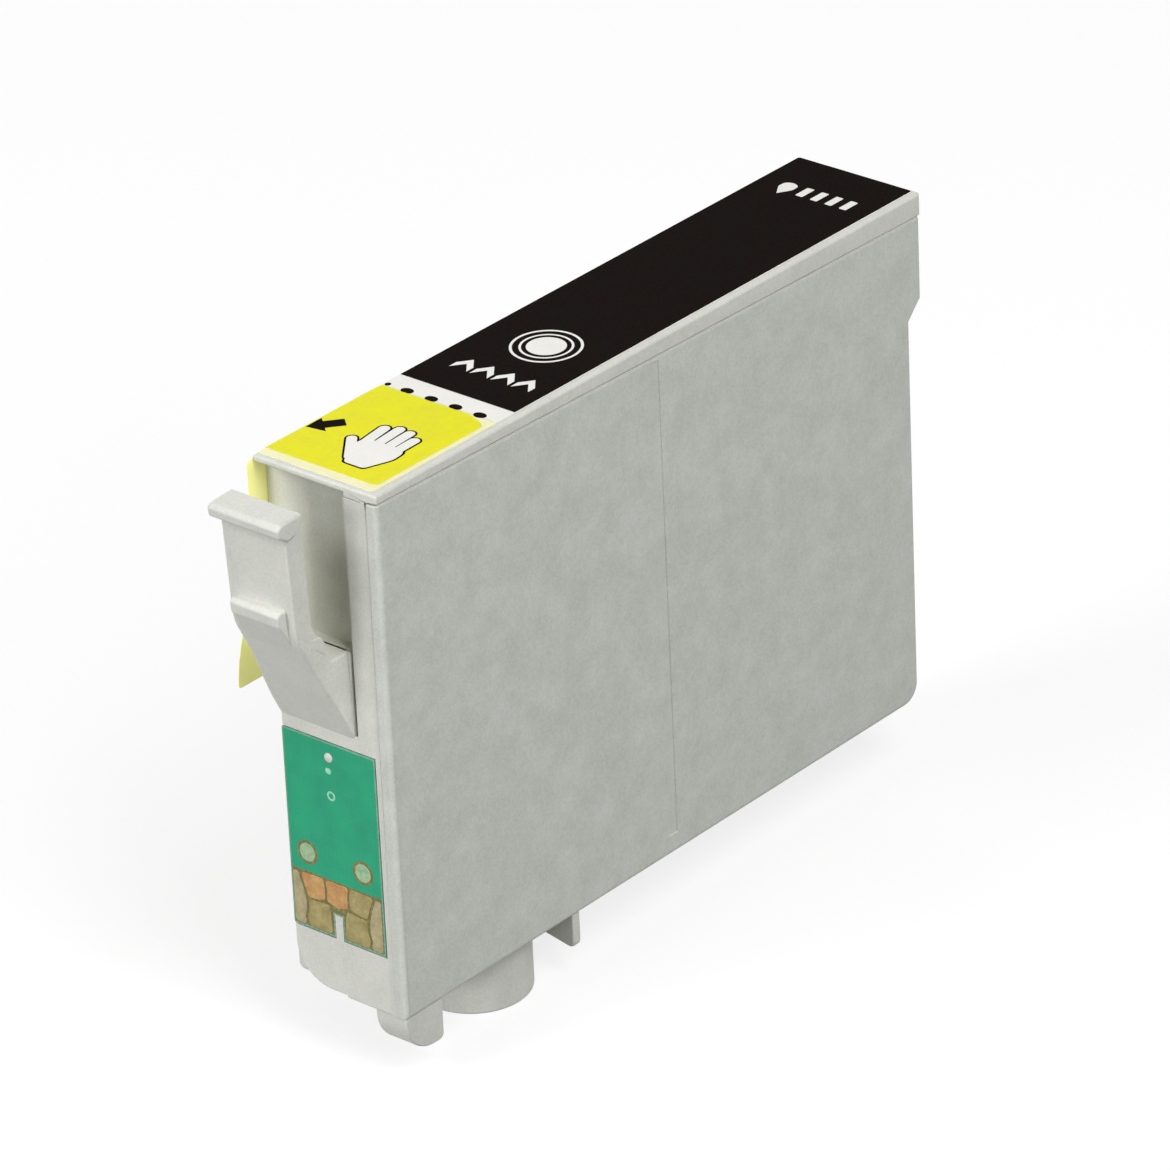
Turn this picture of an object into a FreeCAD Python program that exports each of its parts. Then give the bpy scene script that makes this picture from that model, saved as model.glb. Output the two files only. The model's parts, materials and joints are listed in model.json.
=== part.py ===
import FreeCAD, Part
import math
import os

# Inkjet ink cartridge, in millimetres.
# Shapes are drawn from the front face (x = 0), the middle of the width (y = 0) and the
# underside of the tank (z = 0). The welded cover is on the -Y side. Each solid is then moved
# so that the origin is the middle of the ink outlet's mouth.

Vec = FreeCAD.Vector

# Reach of the cutting shapes past the faces they cut
overshoot = 1.0

# Tank
length = 67.0
width = 12.6
height = 46.0
wall = 1.2
top_wall = 1.8
step_depth = 1.6
step_drop = 9.4
back_corner_radius = 1.8
long_edge_radius = 0.6
crease_x = 33.0
ink_window_height = 3.5

# Side cover and its weld seam
cover_thickness = 1.2
seam_drop_front = 0.8
seam_drop_back = 2.0
seam_gap = 0.1
cover_edge_radius = 0.5
cover_rib_height = 0.6
cover_rib_width = 0.8
crease_width = 1.0
crease_depth = 0.15
crease_margin = 1.8

# Front face
setback = 1.35
pad_margin = 1.17
pad_corner_radius = 3.5
pad_lift = 0.2
column_width = 3.45
slit_width = 0.25
top_flange = 0.6

# Memory chip on its board
board_width = 9.65
board_height = 17.6
board_thickness = 0.8
board_z = 5.24
board_clearance = 0.1
adhesive_thickness = 0.1
blob_width = 4.4
blob_height = 6.0
blob_thickness = 0.9
blob_z = 12.8
post_diameter = 0.9
post_drop = 1.35
notch_width = 0.8
notch_height = 2.1
pad_thickness = 0.06
pad_gap = 0.35
pad_side_width = 1.2
pad_row_height = 2.2
pad_edge = 0.35
test_pad_diameter = 1.5
test_pad_rise = 6.9
test_pad_edge = 1.95

# Latch lever
root_z = 24.0
lean = 27.0
upright_lean = 3.5
knee_rise = 10.7
lever_drop = 0.7
lever_thickness = 1.9
flex_up = 8.4
knuckle_gap = 0.05
floor_rise = 7.5
root_flare = 2.25
knee_radius = 2.5
lever_inset = 0.83
lever_width = 6.6
lip_width = 7.3
lip_depth = 1.0
lip_height = 1.6
catch_width = 5.0
catch_depth = 0.95
catch_rise = 13.3
catch_length = 4.4

# Ink outlet and its valve
outlet_x = 15.0
outlet_height = 5.9
outlet_radius = 4.8
outlet_bore_radius = 3.2
seal_bore_radius = 2.2
seal_height = 2.5
valve_travel = 2.2
valve_seat_gap = 0.05
valve_disc_radius = 2.8
valve_disc_height = 1.2
valve_height = 3.4
valve_running_gap = 0.05
wing_thickness = 0.8
wing_count = 4
spigot_radius = 1.3
spigot_height = 1.8
spring_wire = 0.35
spring_turns = 5
spring_sides = 6
spring_steps = 14
spring_gap = 0.25
end_clearance = 0.15
ceiling_thickness = 0.8
flow_hole_radius = 1.2
turret_wall = 0.7
screen_thickness = 0.3
wick_height = 2.4
wick_margin = 0.15

# Foot and fin under the tank
side_inset = 0.3
foot_start = 0.2
foot_length = 4.4
foot_height = 3.7
foot_width = 3.2
fin_x = 20.5
fin_thickness = 0.9
fin_height = 3.3
fin_width = 5.0
fin_slope = 0.9
rib_radius = 0.6

# Foam and free ink
foam_clearance = 0.1
foam_headroom = 5.0
ink_headroom = 4.2

# Vent and filling hole in the top wall
vent_x = 8.0
vent_radius = 0.5
groove_start = 18.8
groove_width = 0.8
groove_depth = 0.6
groove_length = 12.0
groove_pitch = 1.7
groove_legs = 4
film_thickness = 0.06
film_margin = 0.5
film_gap = 0.1
well_setback = 3.6
membrane_radius = 1.8
membrane_thickness = 0.3
fill_x = 50.0
fill_radius = 1.5
plug_head_radius = 2.9
plug_head_height = 0.6
plug_inner = 0.8

# Stickers
sticker_thickness = 0.1
tear_x = 14.85
tear_gap = 0.05
label_end_margin = 0.15
label_cover_margin = 0.7
label_hidden_margin = 0.15
tape_front = 0.8
tape_cover_margin = 0.7
tail_front = -0.6
tail_width = 10.0
tail_straight = 8.0
tail_drop = 19.5
tail_flare = 2.6
tail_corner = 2.0

# Sizes worked out from the ones above
cover_face = -width / 2
hidden_face = width / 2
seat_y = cover_face + cover_thickness
inner_y = hidden_face - wall
pad_left = hidden_face - pad_margin
column_edge = cover_face + column_width
pocket_depth = board_thickness + adhesive_thickness
blob_clearance = board_clearance
blob_pocket_depth = board_thickness + blob_thickness + blob_clearance
front_inner = max(blob_pocket_depth, setback) + wall
lower_back = length - step_depth
step_height = height - step_drop - step_depth
chamber_top = height - top_wall
lever_rise = height - lever_drop - root_z
board_right = pad_left - board_width
board_middle = pad_left - board_width / 2
board_top = board_z + board_height
mouth_z = -outlet_height
seal_top = mouth_z + seal_height
valve_z = seal_top + valve_seat_gap
ceiling_z = valve_z + valve_height + valve_travel + end_clearance
turret_top = ceiling_z + ceiling_thickness
turret_radius = outlet_bore_radius + turret_wall
wick_top = turret_top + screen_thickness + wick_height
cover_side_clear = seat_y + cover_rib_height + foam_clearance


def box(x0, x1, y0, y1, z0, z1):
    """A block between two corners."""
    return Part.makeBox(x1 - x0, y1 - y0, z1 - z0, Vec(x0, y0, z0))


def rod(radius, x, y, z0, z1):
    """An upright round rod."""
    return Part.makeCylinder(radius, z1 - z0, Vec(x, y, z0), Vec(0, 0, 1))


def cross_rod(radius, x, z, y0, y1):
    """A round rod along the width."""
    return Part.makeCylinder(radius, y1 - y0, Vec(x, y0, z), Vec(0, 1, 0))


def front_rod(radius, y, z, x0, x1):
    """A round rod along the length."""
    return Part.makeCylinder(radius, x1 - x0, Vec(x0, y, z), Vec(1, 0, 0))


def side_plate(points, y0, y1):
    """A plate with its outline drawn from the side, as (x, z) points."""
    corners = [Vec(x, y0, z) for x, z in points]
    face = Part.Face(Part.makePolygon(corners + corners[:1]))
    return face.extrude(Vec(0, y1 - y0, 0))


def front_plate(points, x0, x1):
    """A plate with its outline drawn from the front, as (y, z) points."""
    corners = [Vec(x0, y, z) for y, z in points]
    face = Part.Face(Part.makePolygon(corners + corners[:1]))
    return face.extrude(Vec(x1 - x0, 0, 0))


def edges_at(shape, test):
    """The edges whose two ends both pass the test."""
    found = []
    for edge in shape.Edges:
        ends = [vertex.Point for vertex in edge.Vertexes]
        if len(ends) == 2 and all(test(end) for end in ends):
            found.append(edge)
    return found


def near(a, b):
    """True where two sizes are the same."""
    return abs(a - b) < 1e-4


def tidy(shape):
    """The shape with its split faces joined, as a single solid."""
    merged = shape.removeSplitter()
    return merged.Solids[0] if len(merged.Solids) == 1 else merged


def outer_points():
    """The tank's outline from the side, with the stepped back."""
    return [
        (0, 0),
        (lower_back, 0),
        (lower_back, step_height),
        (length, step_height + step_depth),
        (length, height),
        (0, height),
    ]


def chamber_points(x0, x1, inset):
    """Outline of a chamber between two walls, with the step of the back where it reaches it."""
    low = wall + inset
    high = chamber_top - inset
    back_low = lower_back - wall - inset
    back_high = length - wall - inset
    slope = (wall + inset) * math.tan(math.radians(22.5))
    if x1 < back_low:
        return [(x0 + inset, low), (x1 - inset, low), (x1 - inset, high), (x0 + inset, high)]
    return [
        (x0 + inset, low),
        (back_low, low),
        (back_low, step_height + slope),
        (back_high, step_height + step_depth + slope),
        (back_high, high),
        (x0 + inset, high),
    ]


def chambers(inset):
    """The front and the back chamber's outlines."""
    front = chamber_points(front_inner, crease_x - wall / 2, inset)
    back = chamber_points(crease_x + wall / 2, length, inset)
    return [front, back]


def seam_z(x):
    """Height of the weld seam, which falls from the front to the back."""
    return height - seam_drop_front - (seam_drop_back - seam_drop_front) * x / length


def tank_shell():
    """The walls, the partition and the lip over the cover."""
    block = side_plate(outer_points(), seat_y, hidden_face)
    corner = edges_at(block, lambda p: near(p.x, lower_back) and near(p.z, 0))
    block = block.makeFillet(back_corner_radius, corner)
    rim = edges_at(block, lambda p: near(p.y, hidden_face) and p.x > 1e-4)
    rim += edges_at(block, lambda p: near(p.y, hidden_face) and near(p.z, 0))
    block = block.makeFillet(long_edge_radius, rim)
    lip_outline = [(0, seam_z(0)), (length, seam_z(length)), (length, height), (0, height)]
    shell = block.fuse(side_plate(lip_outline, cover_face, seat_y))
    for outline in chambers(0):
        shell = shell.cut(side_plate(outline, seat_y, inner_y))
    window = box(crease_x - wall, crease_x + wall, seat_y, inner_y, wall, wall + ink_window_height)
    return shell.cut(window)


def front_cuts():
    """The recess behind the lever, the rebate beside the pad and the slit beside the root."""
    under_flange = height - top_flange
    reach = hidden_face + overshoot
    recess = box(-overshoot, setback, column_edge, reach, root_z + floor_rise, under_flange)
    rebate = box(-overshoot, setback, pad_left, reach, -overshoot, root_z + floor_rise + overshoot)
    slit = box(-overshoot, setback, column_edge, column_edge + slit_width, root_z + slit_width, under_flange)
    low_strip = box(-overshoot, setback, 0, reach, -overshoot, pad_lift)
    centre = Vec(-overshoot, pad_left - pad_corner_radius, pad_lift + pad_corner_radius)
    square = box(-overshoot, setback, centre.y, reach, -overshoot, centre.z)
    round_part = front_rod(pad_corner_radius, centre.y, centre.z, -overshoot, setback)
    return [recess, rebate, slit, low_strip, square.cut(round_part)]


def chip_pocket():
    """The pocket for the board, open on the hidden side, with the deeper one for the blob."""
    low = board_z - board_clearance
    high = board_top + board_clearance
    flat = box(-overshoot, pocket_depth, board_right - board_clearance, hidden_face + overshoot, low, high)
    half = blob_width / 2 + blob_clearance
    blob_low = blob_z - blob_clearance
    blob_high = blob_z + blob_height + blob_clearance
    deep = box(0, blob_pocket_depth, board_middle - half, board_middle + half, blob_low, blob_high)
    return flat.fuse(deep)


def board_posts(gap):
    """The locating post and the rib that pass through the board, grown by a gap."""
    post_z = board_top - post_drop
    post = front_rod(post_diameter / 2 + gap, board_middle, post_z, -overshoot, pocket_depth)
    half = notch_width / 2 + gap
    low = board_z - board_clearance
    high = board_z + notch_height + gap
    rib = box(-overshoot, pocket_depth, board_middle - half, board_middle + half, low, high)
    return post.fuse(rib)


def lever_direction(angle):
    """Unit steps along a leg of the lever and square to it, towards the tank."""
    turn = math.radians(angle)
    along = (-math.sin(turn), math.cos(turn))
    inward = (math.cos(turn), math.sin(turn))
    return along, inward


def leg_point(start, angle, distance, depth):
    """A point on a leg, a distance along it and a depth below its front surface."""
    along, inward = lever_direction(angle)
    x = start[0] + along[0] * distance + inward[0] * depth
    z = start[1] + along[1] * distance + inward[1] * depth
    return (x, z)


def knee(depth):
    """Where the two legs meet, at a depth below their front surfaces."""
    corner = (-math.tan(math.radians(lean)) * knee_rise, root_z + knee_rise)
    half_turn = math.radians((lean - upright_lean) / 2)
    return leg_point(corner, (lean + upright_lean) / 2, 0, depth / math.cos(half_turn))


def low_leg(distance, depth):
    """A point on the leaning leg, a distance up it and a depth below its front surface."""
    return leg_point((0, root_z), lean, distance, depth)


def high_leg(depth, below):
    """A point on the upright leg, a depth behind its front and a height below its top."""
    rise = (lever_rise - knee_rise - below) / math.cos(math.radians(upright_lean))
    return leg_point(knee(0), upright_lean, rise, depth)


def lever_middle():
    """Middle of the lever's width."""
    return pad_left - lever_inset - lever_width / 2


def lever_root():
    """The wedge that carries the lever, with the round seat that the lever bends in."""
    front = low_leg(flex_up, 0)
    back = low_leg(flex_up, lever_thickness)
    floor = root_z + floor_rise
    floor_x = back[0] + (back[1] - floor) * math.tan(math.radians(lean))
    outline = [(0, root_z), front, back, (floor_x, floor), (setback, floor), (setback, root_z)]
    root_right = column_edge + slit_width
    wedge = side_plate(outline, root_right, pad_left)
    lever_left = lever_middle() + lever_width / 2
    lever_right = lever_middle() - lever_width / 2
    flare = [
        (root_right, root_z),
        (pad_left, root_z),
        (pad_left, root_z + root_flare),
        (lever_left, front[1]),
        (lever_left, height),
        (lever_right, height),
        (lever_right, front[1]),
        (root_right, root_z + root_flare),
    ]
    shape = wedge.common(front_plate(flare, -length, setback))
    x, z = low_leg(flex_up, lever_thickness / 2)
    return shape.cut(cross_rod(lever_thickness / 2 + knuckle_gap, x, z, cover_face, hidden_face))


def lever_blade(right, left):
    """The bent blade, with the round end that it bends about."""
    outline = [
        low_leg(flex_up, 0),
        knee(0),
        high_leg(0, 0),
        high_leg(lever_thickness, 0),
        knee(lever_thickness),
        low_leg(flex_up, lever_thickness),
    ]
    blade = side_plate(outline, right, left)
    for depth, radius in ((0, knee_radius + lever_thickness), (lever_thickness, knee_radius)):
        x, z = knee(depth)
        bend = edges_at(blade, lambda p: near(p.x, x) and near(p.z, z))
        blade = blade.makeFillet(radius, bend)
    x, z = low_leg(flex_up, lever_thickness / 2)
    return blade.fuse(cross_rod(lever_thickness / 2, x, z, right, left))


def latch_lever():
    """The springy lever, with its lip at the top and its catch below."""
    middle = lever_middle()
    blade = lever_blade(middle - lever_width / 2, middle + lever_width / 2)
    lip_outline = [
        high_leg(lever_thickness / 2, lip_height),
        high_leg(0, lip_height),
        high_leg(-lip_depth, lip_height * 0.6),
        high_leg(-lip_depth, lip_height * 0.2),
        high_leg(-lip_depth * 0.6, 0),
        high_leg(lever_thickness, 0),
        high_leg(lever_thickness, lip_height * 0.4),
    ]
    lip = side_plate(lip_outline, middle - lip_width / 2, middle + lip_width / 2)
    below = lever_rise - catch_rise
    catch_foot = knee_rise / math.cos(math.radians(lean)) - (catch_length - (catch_rise - knee_rise))
    catch_outline = [
        high_leg(lever_thickness / 2, below),
        high_leg(-catch_depth * 0.8, below),
        high_leg(-catch_depth, below + catch_depth * 0.5),
        high_leg(-catch_depth * 0.8, below + catch_depth * 1.2),
        low_leg(catch_foot, 0),
        low_leg(catch_foot, lever_thickness / 2),
        knee(lever_thickness / 2),
    ]
    catch = side_plate(catch_outline, middle - catch_width / 2, middle + catch_width / 2)
    return tidy(blade.fuse([lip, catch]))


def outlet_boss():
    """The round outlet under the tank and its turret in the front chamber."""
    boss = rod(outlet_radius, outlet_x, 0, mouth_z, wall)
    turret = rod(turret_radius, outlet_x, 0, 0, turret_top)
    return boss.fuse(turret)


def outlet_bores():
    """The valve's bore and the flow hole above it."""
    bore = rod(outlet_bore_radius, outlet_x, 0, mouth_z - overshoot, ceiling_z)
    flow = rod(flow_hole_radius, outlet_x, 0, ceiling_z - overshoot, turret_top + overshoot)
    return bore.fuse(flow)


def foot():
    """The front foot, with its rounded lead-in."""
    outer = cover_face + side_inset
    block = box(foot_start, foot_start + foot_length, outer, outer + foot_width, -foot_height, 0)
    lead = edges_at(block, lambda p: near(p.x, foot_start) and near(p.z, -foot_height))
    block = block.makeFillet(foot_height * 0.9, lead)
    heel = edges_at(block, lambda p: near(p.x, foot_start + foot_length) and near(p.z, -foot_height))
    return block.makeFillet(rib_radius, heel)


def fin():
    """The thin fin behind the outlet, lower at its outer end."""
    outer = cover_face + side_inset
    outline = [
        (outer, 0),
        (outer, -fin_height),
        (outer + fin_width, -fin_height + fin_slope),
        (outer + fin_width, 0),
    ]
    plate = front_plate(outline, fin_x, fin_x + fin_thickness)
    corner = edges_at(plate, lambda p: near(p.y, outer) and near(p.z, -fin_height))
    return plate.makeFillet(rib_radius, corner)


def leg_y(leg):
    """Middle of one leg of the vent labyrinth."""
    return groove_pitch * (leg - (groove_legs - 1) / 2)


def well_place():
    """Middle of the round well at the labyrinth's inner end."""
    return groove_start - well_setback, leg_y(groove_legs - 1)


def groove_bars():
    """The labyrinth: its open lead, its legs that run to and fro, and the run to the well."""
    bottom = height - film_thickness - groove_depth
    half = groove_width / 2
    far_end = groove_start + groove_length
    above = height + overshoot
    bars = []
    for leg in range(groove_legs):
        y = leg_y(leg)
        bars.append(box(groove_start, far_end, y - half, y + half, bottom, above))
        if leg < groove_legs - 1:
            turn_x = far_end if leg % 2 == 0 else groove_start
            bars.append(box(turn_x - half, turn_x + half, y - half, leg_y(leg + 1) + half, bottom, above))
    lead_y = leg_y(0)
    bars.append(box(vent_x, groove_start, lead_y - half, lead_y + half, bottom, above))
    well_x, well_y = well_place()
    bars.append(box(well_x, groove_start, well_y - half, well_y + half, bottom, above))
    return bars


def film_plate(low, high, gap):
    """A plate the size of the vent film, grown by a gap."""
    well_x, well_y = well_place()
    half = well_y + membrane_radius + film_margin + gap
    x0 = well_x - membrane_radius - film_margin - gap
    x1 = groove_start + groove_length + groove_width / 2 + film_margin + gap
    return box(x0, x1, -half, half, low, high)


def top_cuts():
    """The vent labyrinth, its membrane seat and the filling hole."""
    cuts = [film_plate(height - film_thickness, height + overshoot, film_gap)]
    cuts += groove_bars()
    x, y = well_place()
    seat = height - film_thickness - groove_depth - membrane_thickness
    cuts.append(rod(membrane_radius, x, y, seat, height + overshoot))
    cuts.append(rod(vent_radius, x, y, chamber_top - overshoot, height))
    cuts.append(rod(fill_radius, fill_x, 0, chamber_top - overshoot, height + overshoot))
    cuts.append(rod(plug_head_radius, fill_x, 0, height - plug_head_height, height + overshoot))
    return cuts


def tank_body():
    """The one-piece moulding that carries everything else."""
    shape = tank_shell()
    for cut in front_cuts():
        shape = shape.cut(cut)
    shape = shape.cut(chip_pocket())
    posts = board_posts(0).common(box(0, pocket_depth, cover_face, hidden_face, 0, height))
    shape = shape.fuse([posts, lever_root(), outlet_boss(), foot(), fin()])
    shape = shape.cut(outlet_bores())
    for cut in top_cuts():
        shape = shape.cut(cut)
    return tidy(shape)


def side_cover():
    """The welded cover, with its crease outside and its locating ribs inside."""
    outline = outer_points()[:4] + [(length, seam_z(length) - seam_gap), (0, seam_z(0) - seam_gap)]
    plate = side_plate(outline, cover_face, seat_y)
    corner = edges_at(plate, lambda p: near(p.x, lower_back) and near(p.z, 0))
    plate = plate.makeFillet(back_corner_radius, corner)
    seam = height - seam_drop_back - seam_gap
    outside = edges_at(plate, lambda p: near(p.y, cover_face))
    rim = [edge for edge in outside if edge.BoundBox.ZMin < seam - 1e-4]
    plate = plate.makeFillet(cover_edge_radius, rim)
    crease = box(
        crease_x - crease_width / 2,
        crease_x + crease_width / 2,
        cover_face - overshoot,
        cover_face + crease_depth,
        crease_margin,
        height - crease_margin,
    )
    plate = plate.cut(crease)
    for outer, inner in zip(chambers(foam_clearance), chambers(foam_clearance + cover_rib_width)):
        ring = side_plate(outer, seat_y, seat_y + cover_rib_height)
        plate = plate.fuse(ring.cut(side_plate(inner, seat_y, seat_y + cover_rib_height)))
    return tidy(plate)


def chip_board():
    """The circuit board, with its post hole and its notch."""
    board = box(0, board_thickness, board_right, pad_left, board_z, board_top)
    return tidy(board.cut(board_posts(board_clearance / 2)))


def chip_adhesive():
    """The thin adhesive between the board and its pocket, open round the blob."""
    sheet = box(board_thickness, pocket_depth, board_right, pad_left, board_z, board_top)
    half = blob_width / 2 + blob_clearance
    blob_low = blob_z - blob_clearance
    blob_high = blob_z + blob_height + blob_clearance
    opening = box(0, blob_pocket_depth, board_middle - half, board_middle + half, blob_low, blob_high)
    return tidy(sheet.cut([opening, board_posts(board_clearance / 2)]))


def chip_blob():
    """The potted chip on the back of the board, with sloped edges."""
    y0 = board_middle - blob_width / 2
    block = box(board_thickness, board_thickness + blob_thickness, y0, y0 + blob_width, blob_z, blob_z + blob_height)
    rim = edges_at(block, lambda p: near(p.x, board_thickness + blob_thickness))
    return block.makeFillet(blob_thickness * 0.5, rim)


def contact_pads():
    """Seven contacts in two rows and the two round test pads above them."""
    low = board_z + pad_edge
    high = low + 2 * pad_row_height + pad_gap
    left = board_right + pad_edge
    right = pad_left - pad_edge
    pads = [
        box(-pad_thickness, 0, left, left + pad_side_width, low, high),
        box(-pad_thickness, 0, right - pad_side_width, right, low, high),
    ]
    inner_left = left + pad_side_width + pad_gap
    inner_right = right - pad_side_width - pad_gap
    step = (inner_right - inner_left + pad_gap) / 3
    for place in range(3):
        y = inner_left + place * step
        pads.append(box(-pad_thickness, 0, y, y + step - pad_gap, high - pad_row_height, high))
    notch_half = notch_width / 2 + pad_gap
    pads.append(box(-pad_thickness, 0, inner_left, board_middle - notch_half, low, low + pad_row_height))
    pads.append(box(-pad_thickness, 0, board_middle + notch_half, inner_right, low, low + pad_row_height))
    test_z = board_z + test_pad_rise
    for y in (board_right + test_pad_edge, pad_left - test_pad_edge):
        pads.append(front_rod(test_pad_diameter / 2, y, test_z, -pad_thickness, 0))
    return Part.makeCompound(pads)


def outlet_seal():
    """The rubber ring in the outlet's mouth."""
    ring = rod(outlet_bore_radius, outlet_x, 0, mouth_z, seal_top)
    return ring.cut(rod(seal_bore_radius, outlet_x, 0, mouth_z - overshoot, seal_top + overshoot))


def valve_plunger():
    """The valve disc, its guide wings and the spigot for the spring."""
    top = valve_z + valve_disc_height
    shape = rod(valve_disc_radius, outlet_x, 0, valve_z, top)
    shape = shape.fuse(rod(spigot_radius, outlet_x, 0, valve_z, top + spigot_height))
    inner = spigot_radius + spring_wire + 2 * spring_gap
    outer = outlet_bore_radius - valve_running_gap
    wing = box(inner, outer + overshoot, -wing_thickness / 2, wing_thickness / 2, valve_z, valve_z + valve_height)
    keep = rod(outer, 0, 0, valve_z, valve_z + valve_height)
    wing = wing.common(keep)
    for place in range(wing_count):
        copy = wing.copy()
        copy.rotate(Vec(0, 0, 0), Vec(0, 0, 1), 360.0 * place / wing_count + 45)
        copy.translate(Vec(outlet_x, 0, 0))
        shape = shape.fuse(copy)
    return tidy(shape)


def valve_spring():
    """The coil spring between the valve and the outlet's ceiling, as a fine faceted coil."""
    low = valve_z + valve_disc_height + spring_wire / 2
    high = ceiling_z - spring_wire / 2
    radius = spigot_radius + spring_gap + spring_wire / 2
    count = spring_turns * spring_steps
    rings = []
    for step in range(count + 1):
        turn = 2 * math.pi * step / spring_steps
        ring = []
        for side in range(spring_sides):
            angle = 2 * math.pi * side / spring_sides
            reach = radius + spring_wire / 2 * math.cos(angle)
            rise = low + (high - low) * step / count + spring_wire / 2 * math.sin(angle)
            ring.append(Vec(outlet_x + reach * math.cos(turn), reach * math.sin(turn), rise))
        rings.append(ring)
    faces = [Part.Face(Part.makePolygon(ring + ring[:1])) for ring in (rings[0], rings[-1])]
    for first, second in zip(rings, rings[1:]):
        for side in range(spring_sides):
            following = (side + 1) % spring_sides
            a, b, c, d = first[side], first[following], second[following], second[side]
            faces.append(Part.Face(Part.makePolygon([a, b, c, a])))
            faces.append(Part.Face(Part.makePolygon([a, c, d, a])))
    shell = Part.makeShell(faces)
    shell.sewShape()
    return Part.Solid(shell)


def filter_screen():
    """The steel mesh disc on the turret."""
    return rod(turret_radius, outlet_x, 0, turret_top, turret_top + screen_thickness)


def wick_pad():
    """The felt pad between the mesh and the foam."""
    return rod(turret_radius, outlet_x, 0, turret_top + screen_thickness, wick_top)


def foam_block():
    """The ink foam, pressed down over the outlet turret."""
    block = box(
        front_inner + foam_clearance,
        crease_x - wall / 2 - foam_clearance,
        cover_side_clear,
        inner_y - foam_clearance,
        wall,
        chamber_top - foam_headroom,
    )
    return block.cut(rod(turret_radius + wick_margin, outlet_x, 0, 0, wick_top))


def ink_charge():
    """The free ink, up to its level, in the back chamber."""
    outline = chamber_points(crease_x + wall / 2, length, foam_clearance)
    body = side_plate(outline, cover_side_clear, inner_y - foam_clearance)
    return body.common(box(0, length, cover_face, hidden_face, 0, chamber_top - ink_headroom))


def vent_membrane():
    """The porous disc under the inner end of the labyrinth."""
    x, y = well_place()
    low = height - film_thickness - groove_depth - membrane_thickness
    return rod(membrane_radius, x, y, low, low + membrane_thickness)


def vent_film():
    """The film that closes the labyrinth from above."""
    return film_plate(height - film_thickness, height, 0)


def fill_plug():
    """The rubber plug of the filling hole."""
    head = rod(plug_head_radius, fill_x, 0, height - plug_head_height, height)
    stem = rod(fill_radius, fill_x, 0, chamber_top - plug_inner, height)
    return tidy(head.fuse(stem))


def top_label():
    """The dark sticker on the top."""
    front = tear_x + tear_gap
    back = length - label_end_margin
    low_y = cover_face + label_cover_margin
    high_y = hidden_face - label_hidden_margin
    return box(front, back, low_y, high_y, height, height + sticker_thickness)


def front_arc(centre, radius, start, end):
    """An arc seen from the front, from one angle to another in degrees."""
    points = []
    for angle in (start, (start + end) / 2, end):
        turn = math.radians(angle)
        points.append(Vec(0, centre[0] + radius * math.cos(turn), centre[1] + radius * math.sin(turn)))
    return Part.Arc(*points).toShape()


def front_profile(pieces):
    """A face from lines and arcs that follow each other, with straight joins between them."""
    edges = []
    for piece, following in zip(pieces, pieces[1:] + pieces[:1]):
        edges.append(piece)
        end = piece.Vertexes[-1].Point
        start = following.Vertexes[0].Point
        if (end - start).Length > 1e-6:
            edges.append(Part.makeLine(end, start))
    return Part.Face(Part.Wire(edges))


def pull_tape():
    """The pull-off end of the sticker, folded over the long edge, with its free tail flared out."""
    corner = Vec(0, hidden_face, height)
    outside = Vec(0, hidden_face + sticker_thickness, height)
    start = Vec(0, cover_face + tape_cover_margin, height)
    fold = front_arc((corner.y, corner.z), sticker_thickness, 0, 90)
    end_line = Part.makeLine(start + Vec(0, 0, sticker_thickness), start)
    top = front_profile([fold, end_line, Part.makeLine(corner, outside)])
    top = top.extrude(Vec(tear_x - tape_front, 0, 0))
    top.translate(Vec(tape_front, 0, 0))
    flare_drop = tail_drop - tail_straight
    turn = 2 * math.atan2(tail_flare, flare_drop)
    flare_radius = flare_drop / math.sin(turn)
    centre = (hidden_face + flare_radius, height - tail_straight)
    bottom = 180 + math.degrees(turn)
    inner = front_arc(centre, flare_radius, 180, bottom)
    outer = front_arc(centre, flare_radius - sticker_thickness, bottom, 180)
    tail = front_profile([Part.makeLine(outside, corner), inner, outer])
    tail = tail.extrude(Vec(tail_width, 0, 0))
    tail.translate(Vec(tail_front, 0, 0))
    low = height - tail_drop + sticker_thickness
    corners = [edge for edge in tail.Edges if edge.Length < 2 * sticker_thickness and edge.BoundBox.ZMin < low]
    tail = tail.makeFillet(tail_corner, corners)
    return tidy(top.fuse(tail))


def export(name, shape):
    """Moves a solid so that the origin is the outlet's mouth, and writes it."""
    shape = shape.copy()
    shape.translate(Vec(-outlet_x, 0, outlet_height))
    if not shape.isValid() or not shape.Solids:
        raise ValueError(name + " is not a sound solid")
    shape.exportStep("parts/" + name + ".step")


def main():
    """Writes every piece."""
    os.makedirs("parts", exist_ok=True)
    pieces = [
        tank_body,
        side_cover,
        latch_lever,
        chip_board,
        contact_pads,
        chip_blob,
        chip_adhesive,
        outlet_seal,
        valve_plunger,
        valve_spring,
        filter_screen,
        wick_pad,
        foam_block,
        ink_charge,
        vent_membrane,
        vent_film,
        fill_plug,
        top_label,
        pull_tape,
    ]
    for piece in pieces:
        export(piece.__name__, piece())


main()
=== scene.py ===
"""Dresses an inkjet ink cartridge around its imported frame."""

import json
import logging
import math
from dataclasses import dataclass
from enum import Enum
from typing import Callable, Iterable, Sequence

import bmesh
import bpy
from mathutils import Matrix, Vector

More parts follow.
